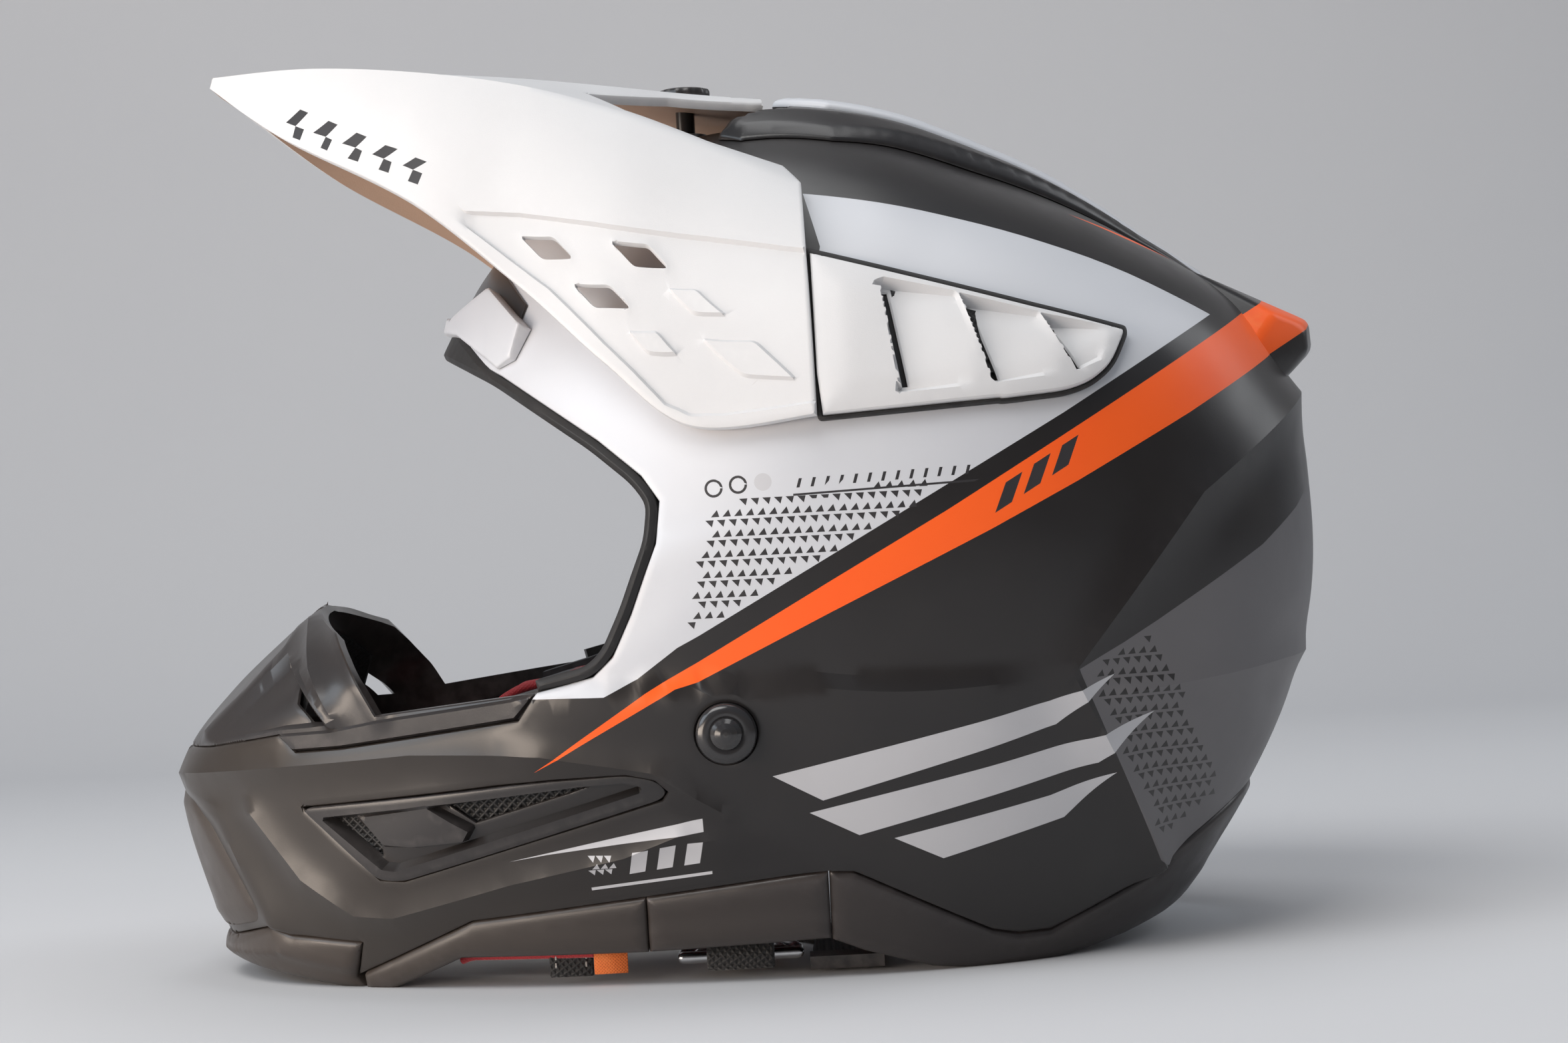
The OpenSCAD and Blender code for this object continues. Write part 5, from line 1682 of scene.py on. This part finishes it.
CHEEK = [[-100, 44], [-104, 62], [-96, 79], [-84, 86], [-62, 92], [-46, 96], [-30, 102],
         [-14, 106], [56, 102], [58, 56], [36, 34], [-60, 28], [-84, 32]]
CHEEK_SEAMS = [[[-96, 56], [-60, 60], [-20, 66], [54, 78]], [[-40, 32], [-34, 90]],
               [[14, 34], [16, 102]]]
# Inner and outer face of the pads, and how the piping lies on the cushion's edges.
PAD_INNER, PAD_DEPTH, PIPING_R, PIPING_LIFT = 58, 20, 1.7, 0.7
# The lining's red hem: its run along X, how far below and inside the trim it lies, its radius.
HEM_RUN, HEM_DROP, HEM_DEPTH, HEM_R = (-94, -53), 4.2, 6.2, 1.3
for name, side in SIDES.items():
    pad = plump(f"cheek_cushion_{name}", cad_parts[f"cheek_pad_{name}"], KNIT, 5, 3.0, 5.0)
    grooves(pad, CHEEK_SEAMS, SIDE_AXES, 3.5, 1.6)
    fit(pad, f"cheek_{name}", "pad_fabric", f"cheek_pad_{name}")
    edge = dense(soften(CHEEK, 9), 2.5)
    room = SideChart.place(SideChart.flat(edge))[0][:, 1] - PAD_DEPTH
    for i, reach in enumerate((np.full(len(edge), PAD_INNER), room)):
        ring = np.stack([edge[:, 0], side * np.maximum(reach, PAD_INNER), edge[:, 1]], 1)
        piping = sweep(f"piping_{name}_{i}", hugging(ring, pad, PIPING_LIFT), (0, 1, 0),
                       round_section(PIPING_R), RED_PIPING, closed=True)
        fit(piping, f"cheek_{name}", "pad_fabric")
    hem_x = np.linspace(*HEM_RUN, 20)
    hem = np.stack([hem_x, height_on(TRIM_FOOT, hem_x) - HEM_DROP], 1)
    p, n = SideChart.place(SideChart.flat(hem))
    lining = sweep(f"lining_hem_{name}", (p - n * HEM_DEPTH) * [1, side, 1], (0, 0, 1),
                   round_section(HEM_R), RED_PIPING)
    fit(lining, "root", "pad_fabric")

CROWN_SEAMS = ([[[-50, y], [120, y]] for y in (28, -28)] + [[[28, -70], [28, 70]],
               [[-14, -60], [-14, 60]], [[72, -62], [72, 62]]])
crown_pad = plump("crown_cushion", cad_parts["comfort_liner"], OPEN_KNIT, 6, 2.0, 3.0)
grooves(crown_pad, CROWN_SEAMS, PLAN_AXES, 4, 2.0)
fit(crown_pad, "root", "liner_fabric", "comfort_liner")
neck_pad = plump("neck_cushion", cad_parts["neck_roll"], KNIT, 5, 2.0, 3.5)
fit(neck_pad, "root", "liner_fabric", "neck_roll")

# ---------------------------------------------------------------- kept CAD nodes

FINISHES = {
    "eps_liner": FOAM, "snap_foam_left": FOAM, "snap_foam_right": FOAM, "chin_foam": FOAM,
    "mouth_filter": FILTER, "pad_studs_left": RED_PLASTIC, "pad_studs_right": RED_PLASTIC,
    "snap_sockets": DARK_PLASTIC, "visor_sockets": PEAK_WHITE, "visor_pivots": ZINC,
    "knob_insert": ZINC, "pod_mesh_left": AIR_MESH, "pod_mesh_right": AIR_MESH,
    "chin_mesh_left": AIR_MESH, "chin_mesh_right": AIR_MESH, "strap_rivets": GLOSS_PLASTIC,
    "strap_end_clip": DARK_PLASTIC, "d_ring_outer": STEEL, "d_ring_inner": STEEL}
for node, finish in FINISHES.items():
    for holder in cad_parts[node].material_slots:
        holder.material = finish

# ---------------------------------------------------------------- camera, lights and floor

def look_at(eye, target):
    """Rotation of a light or camera at eye that looks at target."""
    return (Vector(target) - Vector(eye)).to_track_quat("-Z", "Y").to_euler()


def area_light(name, eye, size, power, color):
    """Rectangular light that looks at the middle of the helmet."""
    light = bpy.data.lights.new(name, "AREA")
    light.shape = "RECTANGLE"
    light.size, light.size_y = size
    light.energy = power
    light.color = color
    lamp = linked(name, light)
    lamp.location = eye
    lamp.rotation_euler = look_at(eye, HELMET_MIDDLE)


# Studio, in metres. Each light is its place, size, power and colour.
HELMET_MIDDLE = (0, 0, 0.14)
FLOOR_RUN, BACKDROP_Y, BACKDROP_CURVE, BACKDROP_TOP, HALF_STAGE = 3.0, 1.6, 0.7, 3.0, 3.5
WARM_BELOW, BLUE_ABOVE, WORLD_STRENGTH = (0.62, 0.54, 0.48, 1), (0.72, 0.84, 1.0, 1), 0.24
LIGHTS = {
    "key": ((-0.6, -1.0, 1.6), (1.2, 0.8), 17, (1.0, 0.985, 0.96)),
    "sky": ((-1.4, -0.7, 0.9), (1.2, 0.7), 9, (0.80, 0.90, 1.0)),
    "rear": ((1.3, 0.3, 0.9), (0.5, 1.0), 4, (0.95, 0.97, 1.0)),
    "top": ((0.1, 0.1, 1.6), (1.2, 0.7), 6, (1, 1, 1)),
    "low": ((-1.1, -0.85, 0.17), (1.3, 0.35), 13, (1.0, 0.86, 0.74))}
CAMERA_AT, CAMERA_ROLL, SENSOR, LENS = (0.011, -1.0, 0.1342), 3.0, 36.0, 71.3


def backdrop():
    """Pale floor that curves up into a backdrop."""
    start = BACKDROP_Y - BACKDROP_CURVE
    profile = [(-FLOOR_RUN, 0.0), (start, 0.0)]
    profile += [(start + BACKDROP_CURVE * math.sin(a),
                 BACKDROP_CURVE - BACKDROP_CURVE * math.cos(a))
                for a in np.linspace(0, math.pi / 2, 16)[1:]]
    profile.append((BACKDROP_Y, BACKDROP_TOP))
    verts = [(x / MM, y / MM, z / MM) for x in (-HALF_STAGE, HALF_STAGE) for y, z in profile]
    n = len(profile)
    faces = [(i, i + n, i + n + 1, i + 1) for i in range(n - 1)]
    paper = (Look("backdrop_paper", (0.62, 0.62, 0.63), 0.85)
             .cloud(0.3, (0.60, 0.60, 0.615), strength=0.4).grain(0.002, 0.00002).done())
    make_object("backdrop", verts, faces, [paper], sharp=60)


def studio_world():
    """Weak light from all round, warm from below and bluish from above."""
    world = bpy.data.worlds.new("studio_world")
    world.use_nodes = True
    nodes, links = world.node_tree.nodes, world.node_tree.links
    direction = nodes.new("ShaderNodeTexCoord")
    parts = nodes.new("ShaderNodeSeparateXYZ")
    share = nodes.new("ShaderNodeMapRange")
    share.inputs["From Min"].default_value = -0.1
    share.inputs["From Max"].default_value = 0.6
    mix = nodes.new("ShaderNodeMix")
    mix.data_type = "RGBA"
    mix.inputs[6].default_value = WARM_BELOW
    mix.inputs[7].default_value = BLUE_ABOVE
    links.new(direction.outputs["Generated"], parts.inputs["Vector"])
    links.new(parts.outputs["Z"], share.inputs["Value"])
    links.new(share.outputs["Result"], mix.inputs[0])
    links.new(mix.outputs[2], nodes["Background"].inputs["Color"])
    nodes["Background"].inputs["Strength"].default_value = WORLD_STRENGTH
    bpy.context.scene.world = world


def view():
    """Camera square on to the helmet's left side, rolled so that its chin hangs a little."""
    roll = math.radians(CAMERA_ROLL)
    camera = bpy.data.cameras.new("camera")
    camera.sensor_width = SENSOR
    camera.lens = LENS
    eye = linked("camera", camera)
    right = Vector((math.cos(roll), 0, -math.sin(roll)))
    up = Vector((math.sin(roll), 0, math.cos(roll)))
    turn = Matrix((right, up, Vector((0, -1, 0)))).transposed()
    eye.matrix_world = Matrix.Translation(CAMERA_AT) @ turn.to_4x4()
    bpy.context.scene.camera = eye


backdrop()
studio_world()
for name, light in LIGHTS.items():
    area_light(name, *light)
view()
bpy.context.scene.view_settings.view_transform = "Standard"
